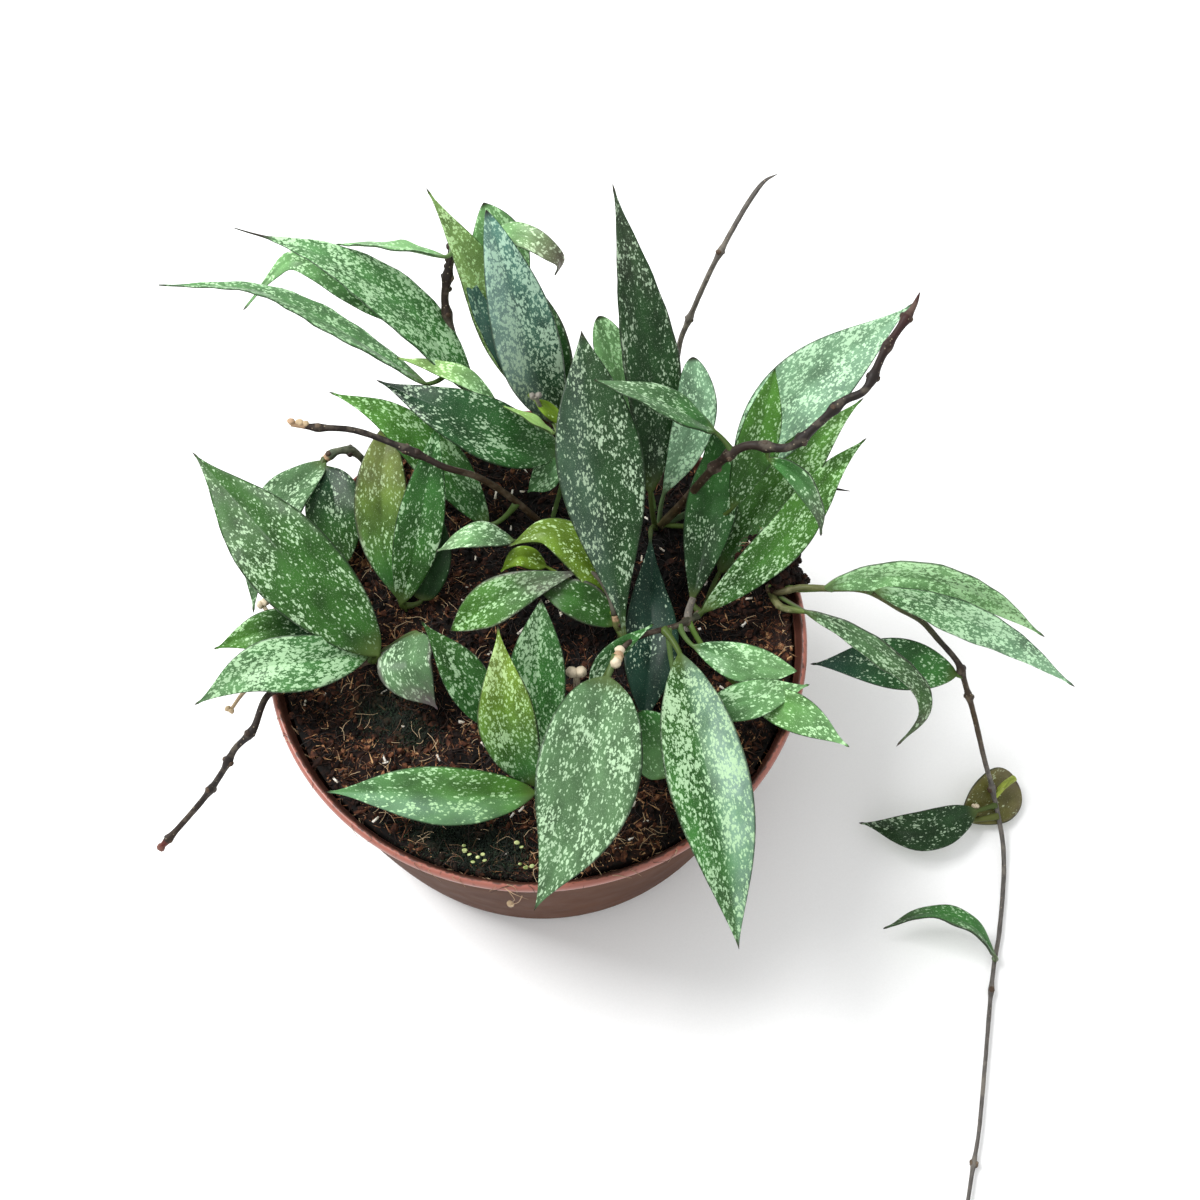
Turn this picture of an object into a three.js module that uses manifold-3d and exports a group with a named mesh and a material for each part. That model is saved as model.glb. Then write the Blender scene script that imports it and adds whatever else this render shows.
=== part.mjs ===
// A potted hoya: a shallow plastic bowl pot full of peat, with leafy stems and one bare twig rooted in it.
// Millimetres, +Z up. The origin is the centre of the pot's base, on the surface that it stands on.
// The right-hand stem spills over the rim, hangs down beside the pot and then lies along that surface.

import * as THREE from 'three';
import { mergeVertices } from 'three/addons/utils/BufferGeometryUtils.js';
import Module from 'manifold-3d';

const wasm = await Module();
wasm.setup();

// ---------------------------------------------------------------- driving dimensions

const RIM_RADIUS = 105;
const POT_HEIGHT = 100;
const BASE_RADIUS = 85;
const WALL = 1.8;
const BEAD_HEIGHT = 4.5;
const BEAD_WIDTH = 4.5;
const COLLAR_RADIUS = 102.5;
const COLLAR_HEIGHT = 12;
const COLLAR_STEP = 1.2;
const BOWL_ROUNDING = 0.75;
const BOWL_STEPS = 3;
const BEAD_ANGLES = [-50, 0, 45, 90, 135, 170];
const POT_SEGMENTS = 40;

const DRAIN_COUNT = 8;
const DRAIN_RADIUS = 4.5;
const DRAIN_CIRCLE = 58;
const DRAIN_SIDES = 12;

const GAP = 0.35;
const SOIL_LEVEL = 89;
const SOIL_MOUND = 2;
const SOIL_RELIEF = 1;
const COARSE_LUMP = 8;
const FINE_LUMP = 4.5;
const SOIL_RINGS = 8;
const SOIL_SEGMENTS = 36;
const CHIP_COUNT = 18;
const CHIP_MARGIN = 6;
const CHIP_SMALL = { long: 2.5, wide: 1.5, thick: 1 };
const CHIP_LARGE = { long: 6, wide: 3, thick: 1.7 };
const CHIP_TILT = 15;
const HOLE_LENGTH = 42;

const BURIED_END = 70;
const BLADE_THICKNESS = 0.9;
const BLADE_SECTIONS = 8;
const BLADE_FOLD = 14;
const BLADE_BELLY = 0.42;
const BLADE_END = 0.5;
const EDGE_WAVE = 0.5;
const BASE_FULLNESS = 0.8;
const TIP_FINENESS = 0.65;
const STALK_RADIUS = 1.4;
const STALK_TAPER = 0.3;
const STALK_STEPS = 2;
const ROUND_SIDE = 0.87;
const STEM_SIDES = 6;
const STEM_STEP = 10;
const STEM_TAPER = 0.25;
const NODE_SWELL = 0.4;
const NODE_REACH = 2.5;
const NEAREST_SAMPLES = 80;

// Leaves turn their faces towards the light, which comes from above and in front.
const LIGHT = new THREE.Vector3(0, -0.48, 0.88);

// ---------------------------------------------------------------- finishes

const finish = (color, roughness) => new THREE.MeshStandardMaterial({ color, roughness, metalness: 0 });
const terracottaPlastic = finish('#9a5a48', 0.55);
const darkPeat = finish('#2e211b', 0.95);
const hoyaGreen = finish('#3f6b43', 0.42);
const barkBrown = finish('#4a4038', 0.7);

// ---------------------------------------------------------------- solids and booleans

const toSolid = (geometry) => {
  const bare = geometry.index ? geometry.toNonIndexed() : geometry.clone();
  bare.deleteAttribute('normal');
  bare.deleteAttribute('uv');
  const merged = mergeVertices(bare, 1e-4);
  const corners = merged.index.array;
  const triangles = [];
  for (let i = 0; i < corners.length; i += 3) {
    const [a, b, c] = corners.slice(i, i + 3);
    if (a !== b && b !== c && c !== a) triangles.push(a, b, c);
  }
  const mesh = new wasm.Mesh({
    numProp: 3,
    vertProperties: Float32Array.from(merged.attributes.position.array),
    triVerts: Uint32Array.from(triangles),
  });
  return new wasm.Manifold(mesh);
};

const toGeometry = (solid) => {
  const mesh = solid.getMesh();
  const geometry = new THREE.BufferGeometry();
  geometry.setAttribute('position', new THREE.BufferAttribute(mesh.vertProperties, mesh.numProp));
  geometry.setIndex(new THREE.BufferAttribute(mesh.triVerts, 1));
  geometry.computeVertexNormals();
  return geometry;
};

// The largest body of a solid: a scrap cut loose by a boolean is dropped.
const mainBody = (solid) => {
  const bodies = solid.decompose().sort((a, b) => b.volume() - a.volume());
  return bodies[0];
};

// A closed body through rings of points, each ring turning the same way, with a fan over both ends.
// The second half of a ring splits its squares the other way, so that the two faces of a blade match.
const loft = (rings) => {
  const sides = rings[0].length;
  const last = rings.length - 1;
  const index = [];
  const at = (ring, side) => ring * sides + (side % sides);
  for (let r = 0; r < last; r += 1) {
    for (let s = 0; s < sides; s += 1) {
      const [a, b, c, d] = [at(r, s), at(r, s + 1), at(r + 1, s + 1), at(r + 1, s)];
      if (s < sides / 2) index.push(a, b, c, a, c, d);
      else index.push(a, b, d, b, c, d);
    }
  }
  for (let s = 2; s < sides; s += 1) {
    index.push(at(0, 1), at(0, s + 1), at(0, s));
    index.push(at(last, 1), at(last, s), at(last, s + 1));
  }
  const positions = rings.flat().flatMap((p) => [p.x, p.y, p.z]);
  const geometry = new THREE.BufferGeometry();
  geometry.setAttribute('position', new THREE.Float32BufferAttribute(positions, 3));
  geometry.setIndex(index);
  return geometry;
};

const vec = ([x, y, z]) => new THREE.Vector3(x, y, z);

const curveThrough = (points) => new THREE.CatmullRomCurve3(points.map(vec));

// A vector kept square to a direction and brought back to unit length.
const squared = (v, direction) => v.clone().addScaledVector(direction, -v.dot(direction)).normalize();

const degrees = THREE.MathUtils.degToRad;

// A smooth hump: 1 in the middle, fading to nothing past its reach.
const bell = (distance, reach) => Math.exp(-((distance / reach) ** 2));

// A round tube along a curve, with a ring at each stop; radiusAt gives its radius at a stop from 0 to 1.
// Each ring turns from the one before it by no more than the curve bends.
const SIDEWAYS = new THREE.Vector3(0.8, 0.6, 0);
const tube = (curve, stops, sides, radiusAt) => {
  let side = squared(SIDEWAYS, curve.getTangentAt(0));
  const rings = stops.map((t) => {
    const centre = curve.getPointAt(t);
    const along = curve.getTangentAt(t);
    side = squared(side, along);
    const up = new THREE.Vector3().crossVectors(along, side);
    return Array.from({ length: sides }, (_, s) => {
      const angle = (2 * Math.PI * s) / sides;
      const spoke = side.clone().multiplyScalar(Math.cos(angle)).addScaledVector(up, Math.sin(angle));
      return centre.clone().addScaledVector(spoke, radiusAt(t));
    });
  });
  return toSolid(loft(rings));
};

const evenStops = (count) => Array.from({ length: count + 1 }, (_, i) => i / count);

// ---------------------------------------------------------------- the plant, stem by stem

// Each leaf has its full width, its roll about the midrib in degrees away from facing the light, and its
// spine from base to tip.
const leaf = (name, width, roll, ...spine) => ({ name, width, roll, spine });

// Each stem starts at its root point, low in the soil, and swells at its nodes, which are given as shares
// of its length. Its leaf stalks start where it passes closest to the leaf.
const STEMS = [
  {
    name: 'rear_left_stem',
    radius: 2,
    path: [[-3, 90, 90], [-12, 95, 120], [-24, 101, 158], [-25, 110, 172], [-23, 117, 186]],
    nodes: [0.5, 0.8, 0.98],
    leaves: [
      leaf('long_left', 19, 60, [-36, 84, 150], [-63, 99, 163], [-95, 116, 172], [-135, 125, 170]),
      leaf('broad_left', 26, 34, [-16, 87, 138], [-34, 107, 160], [-65, 125, 176], [-102, 144, 178]),
      leaf('under_broad', 16, -25, [-29, 93, 136], [-55, 115, 154], [-82, 139, 160], [-108, 129, 148]),
      leaf('top_left', 16, 62, [-24, 115, 186], [-40, 119, 188], [-66, 134, 176]),
      leaf('young_left', 14, 20, [-14, 92, 126], [-31, 93, 140], [-47, 98, 148]),
      leaf('rear_blue', 20, 20, [3, 84, 122], [-4, 91, 140], [-13, 104, 162], [-18, 119, 178]),
    ],
  },
  {
    name: 'rear_stem',
    radius: 2.2,
    path: [[16, 89, 90], [15, 92, 116], [6, 90, 128]],
    nodes: [0.5, 0.98],
    leaves: [
      leaf('rear_upright', 22, 15, [9, 82, 118], [-1, 91, 145], [-9, 102, 175], [-28, 125, 212]),
      leaf('silver_upright', 31, 0, [16, 90, 120], [5, 101, 160], [-4, 109, 188], [-8, 121, 202]),
      leaf('rear_light', 24, 0, [19, 98, 112], [9, 120, 152], [-1, 129, 180], [-7, 140, 188]),
      leaf('drooping', 18, 0, [12, 104, 150], [3, 115, 180], [3, 123, 190], [10, 117, 192], [16, 108, 182]),
      leaf('rear_right', 18, 20, [22, 99, 112], [22, 107, 135], [17, 117, 152]),
      leaf('dark_level', 25, 10, [15, 70, 118], [-5, 65, 136], [-27, 71, 148], [-55, 89, 148]),
    ],
  },
  {
    name: 'bare_twig',
    radius: 1.3,
    path: [
      [56, 70, 90], [62, 92, 112], [67, 110, 132], [70, 113, 140], [81, 120, 170], [98, 132, 196],
      [103, 132, 200],
    ],
    nodes: [0.42, 0.72],
    leaves: [],
  },
  {
    name: 'right_stem',
    radius: 2.3,
    path: [
      [54, 48, 90], [61, 48, 105], [77, 44, 145], [84, 43, 152], [98, 37, 158], [108, 41, 165],
      [118, 46, 172], [125, 47, 176], [134, 60, 182], [146, 74, 188], [149, 79, 190],
    ],
    nodes: [0.38, 0.44, 0.7, 0.8, 0.93],
    leaves: [
      leaf('tall_dark', 24, 20, [49, 51, 112], [54, 76, 142], [50, 108, 168], [42, 144, 188]),
      leaf('behind_tall', 20, 0, [55, 60, 112], [65, 66, 132], [70, 80, 156]),
      leaf('rear_rounded', 16, 0, [47, 77, 118], [41, 91, 140], [33, 103, 160]),
      leaf('crossing', 18, 45, [72, 49, 154], [50, 57, 166], [28, 65, 170]),
      leaf('broad_right', 30, 0, [84, 52, 116], [106, 68, 143], [152, 89, 172]),
      leaf('narrow_right', 20, 20, [80, 46, 118], [88, 58, 136], [97, 71, 160]),
      leaf('small_drooping', 15, 50, [86, 37, 152], [100, 30, 152], [109, 12, 136]),
      leaf('dark_hanging', 16, 0, [47, 35, 108], [46, -1, 102], [36, -39, 96]),
    ],
  },
  {
    name: 'long_left_stem',
    radius: 2,
    path: [
      [6, 51, 90], [3, 51, 98], [-8, 53, 115], [-19, 54, 128], [-31, 53, 138], [-41, 56, 144],
      [-63, 63, 152], [-78, 63, 156], [-86, 64, 158],
    ],
    nodes: [0.6, 0.97],
    leaves: [
      leaf('under_stem', 20, 10, [-17, 48, 102], [-33, 64, 124], [-53, 78, 140], [-74, 88, 144]),
      leaf('short_bent', 12, 30, [-7, 31, 116], [-21, 31, 122], [-37, 30, 114]),
      leaf('small_pale', 12, 0, [7, 54, 104], [5, 60, 112], [13, 64, 118]),
    ],
  },
  {
    name: 'small_left_stem',
    radius: 1.8,
    path: [[-61, 68, 90], [-62, 72, 100], [-66, 83, 109], [-72, 85, 112], [-79, 82, 112], [-83, 78, 110]],
    nodes: [0.6, 0.95],
    leaves: [
      leaf('outer_left', 20, 10, [-81, 79, 110], [-97, 59, 114], [-108, 36, 108], [-111, 18, 98]),
      leaf('keeled', 18, 0, [-82, 75, 108], [-75, 53, 110], [-64, 26, 102]),
    ],
  },
  {
    name: 'left_pair_stem',
    radius: 1.9,
    path: [
      [-60, 1, 90], [-62, -8, 106], [-83, -17, 112], [-103, -21, 108], [-110, -33, 100], [-118, -37, 92],
      [-124, -42, 84], [-134, -48, 72], [-154, -62, 58],
    ],
    nodes: [0.14, 0.6, 0.7, 0.8],
    leaves: [
      leaf('bright_left', 34, 0, [-61, -11, 110], [-75, 3, 124], [-95, 25, 134], [-128, 70, 136]),
      leaf('silver_left', 22, 0, [-64, -8, 106], [-86, -15, 114], [-106, -15, 112], [-131, -23, 104]),
      leaf('under_bright', 16, 0, [-82, 7, 104], [-104, 3, 110], [-124, -1, 106]),
      leaf('folded_purple', 24, 20, [-46, -2, 108], [-50, -18, 112], [-40, -32, 102]),
    ],
  },
  {
    name: 'mid_left_stem',
    radius: 1.6,
    path: [[-50, 18, 90], [-50, 18, 104]],
    nodes: [0.9],
    leaves: [
      leaf('olive', 22, 0, [-54, 20, 98], [-56, 44, 116], [-56, 80, 132]),
      leaf('green_upright', 20, 10, [-52, 17, 102], [-45, 45, 119], [-32, 71, 134]),
      leaf('dark_low', 14, 0, [-43, 16, 96], [-40, 30, 108], [-35, 45, 116]),
    ],
  },
  {
    name: 'centre_stem',
    radius: 2,
    path: [[32, -4, 90], [32, -6, 102], [30, -2, 110]],
    nodes: [0.9],
    leaves: [
      leaf('tall_centre', 34, 0, [33, -10, 106], [29, 31, 140], [25, 87, 172]),
      leaf('yellow_green', 16, 0, [30, 8, 110], [18, 21, 126], [6, 26, 130], [-9, 23, 124]),
      leaf('tiny_centre', 8, 0, [10, 21, 106], [-3, 23, 112], [-13, 25, 108]),
      leaf('purple_tinged', 16, 0, [15, 10, 120], [-11, 8, 116], [-32, 6, 102]),
      leaf('dark_centre', 14, 0, [30, -2, 104], [17, 4, 112], [0, 11, 112]),
    ],
  },
  {
    name: 'front_stem',
    radius: 2.2,
    path: [[67, 7, 90], [56, -10, 112], [41, -19, 120], [30, -26, 126]],
    nodes: [0.5, 0.96],
    leaves: [
      leaf('dark_right', 22, 0, [61, 5, 102], [73, 39, 107], [80, 70, 116]),
      leaf('bright_right', 21, 0, [62, -12, 106], [85, 13, 112], [110, 40, 116], [138, 65, 117]),
      leaf('lower_right', 22, 0, [81, 24, 110], [101, 40, 137], [130, 59, 152]),
      leaf('front_right', 32, 0, [54, -25, 118], [57, -65, 126], [61, -101, 122], [60, -135, 110]),
      leaf('front_centre', 38, 0, [24, -35, 124], [17, -53, 128], [6, -91, 122], [-7, -114, 112]),
      leaf('low_right', 13, 0, [58, -19, 112], [76, -30, 116], [96, -32, 110]),
      leaf('rim_right', 14, 0, [67, -40, 106], [82, -41, 112], [100, -37, 108]),
      leaf('rim_front_right', 15, 0, [76, -36, 106], [94, -49, 110], [112, -61, 102]),
      leaf('narrow_centre', 9, 0, [22, -31, 120], [30, -23, 122], [43, -13, 122]),
    ],
  },
  {
    name: 'front_sprout',
    radius: 1.6,
    path: [[-4, -60, 90], [-4, -60, 99]],
    nodes: [0.9],
    leaves: [
      leaf('front_upright', 22, 0, [-6, -64, 98], [-13, -51, 116], [-14, -39, 134], [-14, -24, 150]),
      leaf('front_level', 22, 0, [-6, -68, 100], [-33, -70, 108], [-54, -68, 112], [-81, -64, 108]),
      leaf('behind_front', 22, 0, [0, -54, 96], [-2, -33, 114], [2, -9, 140]),
    ],
  },
  {
    name: 'front_left_sprout',
    radius: 1.4,
    path: [[-18, -46, 90], [-19, -45, 98]],
    nodes: [0.9],
    leaves: [leaf('dark_upright', 15, 0, [-21, -41, 103], [-29, -27, 122], [-42, -13, 138])],
  },
  {
    name: 'small_front_sprout',
    radius: 1.4,
    path: [[39, -69, 90], [39, -69, 97]],
    nodes: [0.9],
    leaves: [leaf('small_front', 12, 0, [40, -65, 102], [41, -57, 111], [44, -47, 118])],
  },
  {
    name: 'trailing_stem',
    radius: 2,
    path: [
      [91, 13, 90], [102, 4, 108], [122, 1, 110], [138, -3, 104], [151, -4, 96], [159, -11, 88],
      [169, -19, 74], [175, -30, 56], [181, -39, 36], [189, -50, 14], [191, -74, 3.5], [182, -108, 2.5],
      [177, -121, 2.5], [173, -133, 2.5], [163, -166, 2.5], [156, -188, 2.5], [152, -198, 2.5],
      [144, -219, 2.5],
    ],
    nodes: [0.3, 0.52, 0.76, 0.94],
    leaves: [
      leaf('arching_right', 20, 50, [111, 4, 112], [142, 1, 119], [171, -10, 115], [194, -23, 102]),
      leaf('spreading_right', 20, 45, [131, -1, 110], [159, -17, 112], [205, -42, 92]),
      leaf('sickle', 16, 50, [105, -8, 112], [123, -25, 117], [139, -41, 108], [133, -57, 86]),
      leaf('hanging_dark', 21, 0, [165, -24, 78], [136, -20, 86], [106, -18, 86]),
      leaf('curled_under', 24, 0, [198, -51, 12], [185, -56, 22], [176, -58, 8]),
      leaf('vine_dark', 18, 0, [180, -59, 10], [154, -67, 14], [132, -57, 6]),
      leaf('vine_bright', 14, 55, [176, -120, 9], [167, -109, 17], [151, -102, 17], [133, -104, 7]),
    ],
  },
];

// Half the width of a blade at a share of its length: full at the belly, then drawn out to a fine point.
const halfWidth = (t, width) => {
  const eased = t ** (Math.log(0.5) / Math.log(BLADE_BELLY));
  const fineness = BASE_FULLNESS + TIP_FINENESS * t;
  return Math.max((width / 2) * Math.sin(Math.PI * eased) ** fineness, BLADE_END);
};

const nearestPoint = (curve, target) => {
  const points = curve.getSpacedPoints(NEAREST_SAMPLES);
  return points.reduce((best, p) => (p.distanceTo(target) < best.distanceTo(target) ? p : best));
};

// A leaf's stalk leaves the stem where it passes closest and bends into line with the blade. Its section is
// round; the blade's is flat, with two halves that fold up from the midrib and edges that wave a little.
const stalkStations = (stem, spineCurve) => {
  const base = spineCurve.getPointAt(0);
  const start = nearestPoint(stem, base);
  const reach = start.distanceTo(base);
  const inLine = base.clone().addScaledVector(spineCurve.getTangentAt(0), -reach / 2);
  const bend = start.clone().lerp(base, 0.5).lerp(inLine, 0.5);
  const curve = new THREE.QuadraticBezierCurve3(start, bend, base);
  return evenStops(STALK_STEPS).slice(0, -1).map((t) => {
    const radius = STALK_RADIUS * (1 - STALK_TAPER * t);
    const round = { half: radius * ROUND_SIDE, lift: 0, rimDepth: radius / 2, midDepth: radius };
    return { centre: curve.getPointAt(t), along: curve.getTangentAt(t), ...round };
  });
};

const bladeStations = (spineCurve, width) => evenStops(BLADE_SECTIONS).map((t) => {
  const half = halfWidth(t, width);
  const flat = {
    half: half * Math.cos(degrees(BLADE_FOLD)),
    lift: half * Math.sin(degrees(BLADE_FOLD)),
    wave: EDGE_WAVE * Math.sin(4 * Math.PI * t) * Math.sin(Math.PI * t),
    rimDepth: BLADE_THICKNESS / 2,
    midDepth: BLADE_THICKNESS / 2,
  };
  return { centre: spineCurve.getPointAt(t), along: spineCurve.getTangentAt(t), ...flat };
});

const leafBody = (stem, { spine, width, roll }) => {
  const spineCurve = curveThrough(spine);
  const stations = [...stalkStations(stem, spineCurve), ...bladeStations(spineCurve, width)];
  const middle = STALK_STEPS + Math.round(BLADE_SECTIONS / 2);
  const faces = [];
  const heart = stations[middle].along;
  faces[middle] = squared(LIGHT, heart).applyAxisAngle(heart, degrees(roll));
  for (let i = middle + 1; i < stations.length; i += 1) faces[i] = squared(faces[i - 1], stations[i].along);
  for (let i = middle - 1; i >= 0; i -= 1) faces[i] = squared(faces[i + 1], stations[i].along);
  const rings = stations.map(({ centre, along, half, lift, wave = 0, rimDepth, midDepth }, i) => {
    const face = faces[i];
    const across = new THREE.Vector3().crossVectors(along, face);
    const at = (side, height) => centre.clone().addScaledVector(across, side).addScaledVector(face, height);
    return [
      at(-half, lift + wave + rimDepth), at(0, midDepth), at(half, lift - wave + rimDepth),
      at(half, lift - wave - rimDepth), at(0, -midDepth), at(-half, lift + wave - rimDepth),
    ];
  });
  return toSolid(loft(rings));
};

const stemCurve = ({ path }) => {
  const [x, y, z] = path[0];
  const buried = [[x, y, BURIED_END], [x, y, (BURIED_END + z) / 2]];
  return curveThrough([...buried, ...path]);
};

// The wood of a stem tapers towards its tip and swells at each node.
const stemRadius = ({ radius, nodes }, length) => (t) => {
  const swelling = nodes.reduce((sum, node) => sum + bell((t - node) * length, NODE_REACH), 0);
  return radius * (1 - STEM_TAPER * t) * (1 + NODE_SWELL * Math.min(swelling, 1));
};

const stemStops = ({ nodes }, length) => {
  const even = evenStops(Math.ceil(length / STEM_STEP));
  const reach = NODE_REACH / length;
  const aroundNodes = nodes.flatMap((node) => [node - reach, node, node + reach]);
  const clearOfNodes = even.filter((t) => nodes.every((node) => Math.abs(t - node) > 1.5 * reach));
  const stops = [0, 1, ...clearOfNodes, ...aroundNodes].filter((t) => t >= 0 && t <= 1);
  return [...new Set(stops)].sort((a, b) => a - b);
};

const leafyStem = (stem) => {
  const curve = stemCurve(stem);
  const length = curve.getLength();
  const wood = tube(curve, stemStops(stem, length), STEM_SIDES, stemRadius(stem, length));
  return stem.leaves.reduce((plant, one) => plant.add(leafBody(curve, one)), wood);
};

// ---------------------------------------------------------------- the pot

const turned = (profile, segments) => {
  const points = profile.map(([radius, height]) => new THREE.Vector2(radius, height));
  return new THREE.LatheGeometry(points, segments).rotateX(Math.PI / 2);
};

const collarFoot = POT_HEIGHT - BEAD_HEIGHT - COLLAR_HEIGHT;
const bowlTop = COLLAR_RADIUS - COLLAR_STEP;

const bowlRadius = (height) => BASE_RADIUS + (bowlTop - BASE_RADIUS) * (height / collarFoot) ** BOWL_ROUNDING;

const bowlWall = (inset, from) => evenStops(BOWL_STEPS).map((share) => {
  const height = from + share * (collarFoot - from);
  return [bowlRadius(height) - inset, height];
});

const beadCentre = [RIM_RADIUS - BEAD_WIDTH / 2, POT_HEIGHT - BEAD_HEIGHT / 2];

const beadPoint = (angle) => [
  beadCentre[0] + (BEAD_WIDTH / 2) * Math.cos(degrees(angle)),
  beadCentre[1] + (BEAD_HEIGHT / 2) * Math.sin(degrees(angle)),
];

const potProfile = [
  [0, 0],
  ...bowlWall(0, 0),
  [COLLAR_RADIUS, collarFoot + COLLAR_STEP],
  [COLLAR_RADIUS, POT_HEIGHT - BEAD_HEIGHT],
  ...BEAD_ANGLES.map(beadPoint),
  [COLLAR_RADIUS - WALL, collarFoot + COLLAR_STEP],
  ...bowlWall(WALL, WALL).reverse(),
  [0, WALL],
];

const drainHole = (i) => {
  const angle = (2 * Math.PI * i) / DRAIN_COUNT;
  const hole = new THREE.CylinderGeometry(DRAIN_RADIUS, DRAIN_RADIUS, 4 * WALL, DRAIN_SIDES);
  hole.rotateX(Math.PI / 2);
  return toSolid(hole.translate(DRAIN_CIRCLE * Math.cos(angle), DRAIN_CIRCLE * Math.sin(angle), 0));
};

const makePot = () => {
  const shell = toSolid(turned(potProfile, POT_SEGMENTS));
  const holes = Array.from({ length: DRAIN_COUNT }, (_, i) => drainHole(i));
  return holes.reduce((pot, hole) => pot.subtract(hole), shell);
};

// ---------------------------------------------------------------- the soil

const seededRandom = (seed) => {
  let state = seed;
  return () => {
    state = (state * 1664525 + 1013904223) % 4294967296;
    return state / 4294967296;
  };
};

// The peat is a little higher in the middle and lumpy all over, with a heap against the rim on the right.
const HEAP = { x: 93, y: 23, height: 21, reach: 15 };

const soilHeight = (x, y) => {
  const middle = SOIL_MOUND * Math.cos((Math.hypot(x, y) / RIM_RADIUS) * (Math.PI / 2));
  const coarse = Math.sin(x / COARSE_LUMP) * Math.cos(y / COARSE_LUMP);
  const fine = Math.sin((x - y) / FINE_LUMP) / 2;
  const heap = HEAP.height * bell(Math.hypot(x - HEAP.x, y - HEAP.y), HEAP.reach);
  return SOIL_LEVEL + middle + SOIL_RELIEF * (coarse + fine) + heap;
};

const fillRadius = bowlRadius(collarFoot) - WALL - GAP;

const soilBed = () => {
  const wall = bowlWall(WALL + GAP, WALL + GAP);
  const top = evenStops(SOIL_RINGS).map((share) => [fillRadius * (1 - share), SOIL_LEVEL]);
  const geometry = turned([[0, WALL + GAP], ...wall, ...top], SOIL_SEGMENTS);
  const position = geometry.attributes.position;
  for (let i = 0; i < position.count; i += 1) {
    const [x, y, z] = [position.getX(i), position.getY(i), position.getZ(i)];
    if (z > SOIL_LEVEL - GAP) position.setZ(i, soilHeight(x, y));
  }
  return toSolid(geometry);
};

// A chip of bark or coir, half sunk in the peat and tilted a little.
const chip = (random) => {
  const radius = (fillRadius - CHIP_MARGIN) * Math.sqrt(random());
  const angle = 2 * Math.PI * random();
  const [x, y] = [radius * Math.cos(angle), radius * Math.sin(angle)];
  const size = (side) => THREE.MathUtils.lerp(CHIP_SMALL[side], CHIP_LARGE[side], random());
  const shard = new THREE.OctahedronGeometry(1, 0);
  shard.scale(size('long'), size('wide'), size('thick'));
  shard.rotateY(degrees(CHIP_TILT) * (2 * random() - 1)).rotateZ(Math.PI * random());
  return toSolid(shard.translate(x, y, soilHeight(x, y)));
};

const stemHole = (stem) => {
  const curve = stemCurve(stem);
  const length = curve.getLength();
  const widest = stem.radius * (1 + NODE_SWELL) + GAP;
  const stops = stemStops(stem, length).filter((t) => t * length < HOLE_LENGTH);
  return tube(curve, stops, STEM_SIDES, () => widest);
};

const makeSoil = () => {
  const random = seededRandom(7);
  const chips = Array.from({ length: CHIP_COUNT }, () => chip(random));
  const bed = chips.reduce((soil, one) => soil.add(one), soilBed());
  return mainBody(STEMS.reduce((soil, stem) => soil.subtract(stemHole(stem)), bed));
};

// ---------------------------------------------------------------- the model

const named = (name, solid, material) => {
  const mesh = new THREE.Mesh(toGeometry(solid), material);
  mesh.name = name;
  return mesh;
};

const pottedHoya = new THREE.Group();
pottedHoya.add(named('pot', makePot(), terracottaPlastic));
pottedHoya.add(named('soil', makeSoil(), darkPeat));
STEMS.forEach((stem) => {
  const material = stem.leaves.length > 0 ? hoyaGreen : barkBrown;
  pottedHoya.add(named(stem.name, leafyStem(stem), material));
});

export default pottedHoya;
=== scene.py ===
# %% [markdown]
# # A potted hoya, grown stem by stem
# A hoya, or wax plant, is a trailing house plant with thick pointed leaves that are flecked with silver.
# This one stands in a shallow plastic bowl pot. The lesson builds it from the outside in: first the view
# and the light, then the pot, the peat, the wood of the stems and the leaves, and last the small things
# that lie on the peat. The plain solids that carry the plant are loaded first, and every finer piece
# stands exactly where its solid does.

# %% Load the plain solids
import math
from collections import namedtuple
from functools import partial

import bmesh
import bpy
import numpy as np
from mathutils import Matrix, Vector


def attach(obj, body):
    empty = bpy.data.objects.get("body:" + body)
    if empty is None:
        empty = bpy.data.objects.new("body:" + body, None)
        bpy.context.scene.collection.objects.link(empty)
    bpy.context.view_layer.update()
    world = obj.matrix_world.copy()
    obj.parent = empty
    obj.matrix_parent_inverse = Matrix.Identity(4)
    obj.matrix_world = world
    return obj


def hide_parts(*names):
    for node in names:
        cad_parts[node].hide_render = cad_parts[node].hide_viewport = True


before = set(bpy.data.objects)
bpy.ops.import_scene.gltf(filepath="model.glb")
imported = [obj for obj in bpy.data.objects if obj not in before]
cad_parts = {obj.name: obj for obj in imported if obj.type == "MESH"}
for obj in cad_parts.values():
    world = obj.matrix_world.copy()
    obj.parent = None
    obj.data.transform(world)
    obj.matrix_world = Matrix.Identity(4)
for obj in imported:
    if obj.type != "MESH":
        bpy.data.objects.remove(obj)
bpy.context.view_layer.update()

# %% [markdown]
# ## Units
# Sizes are written in millimetres, because that is how a pot or a leaf is measured. Blender works in
# metres, so each mesh is scaled once, at the moment when it is made.

# %% Units and small vector helpers
MM = 0.001


def unit(vectors):
    """Vectors brought to length 1."""
    return vectors / np.linalg.norm(vectors, axis=-1, keepdims=True)


def squared(vector, direction):
    """A vector kept square to a direction and brought back to length 1."""
    return unit(vector - direction * np.dot(vector, direction))


def bell(distance, reach):
    """A smooth hump: 1 in the middle, fading to nothing past its reach."""
    return np.exp(-((distance / reach) ** 2))


def smooth(share):
    """Eases a share from 0 to 1 so that it leaves and arrives gently."""
    held = np.clip(share, 0, 1)
    return held * held * (3 - 2 * held)


# %% [markdown]
# ## The view
# The plant is looked down on from close by, about two thirds of a metre from the pot, with a short
# portrait lens. Perspective is strong at that distance, so the camera's real place matters more than its
# framing: it was worked out from the ellipse of the rim, and it is written down in metres and degrees.

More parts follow.
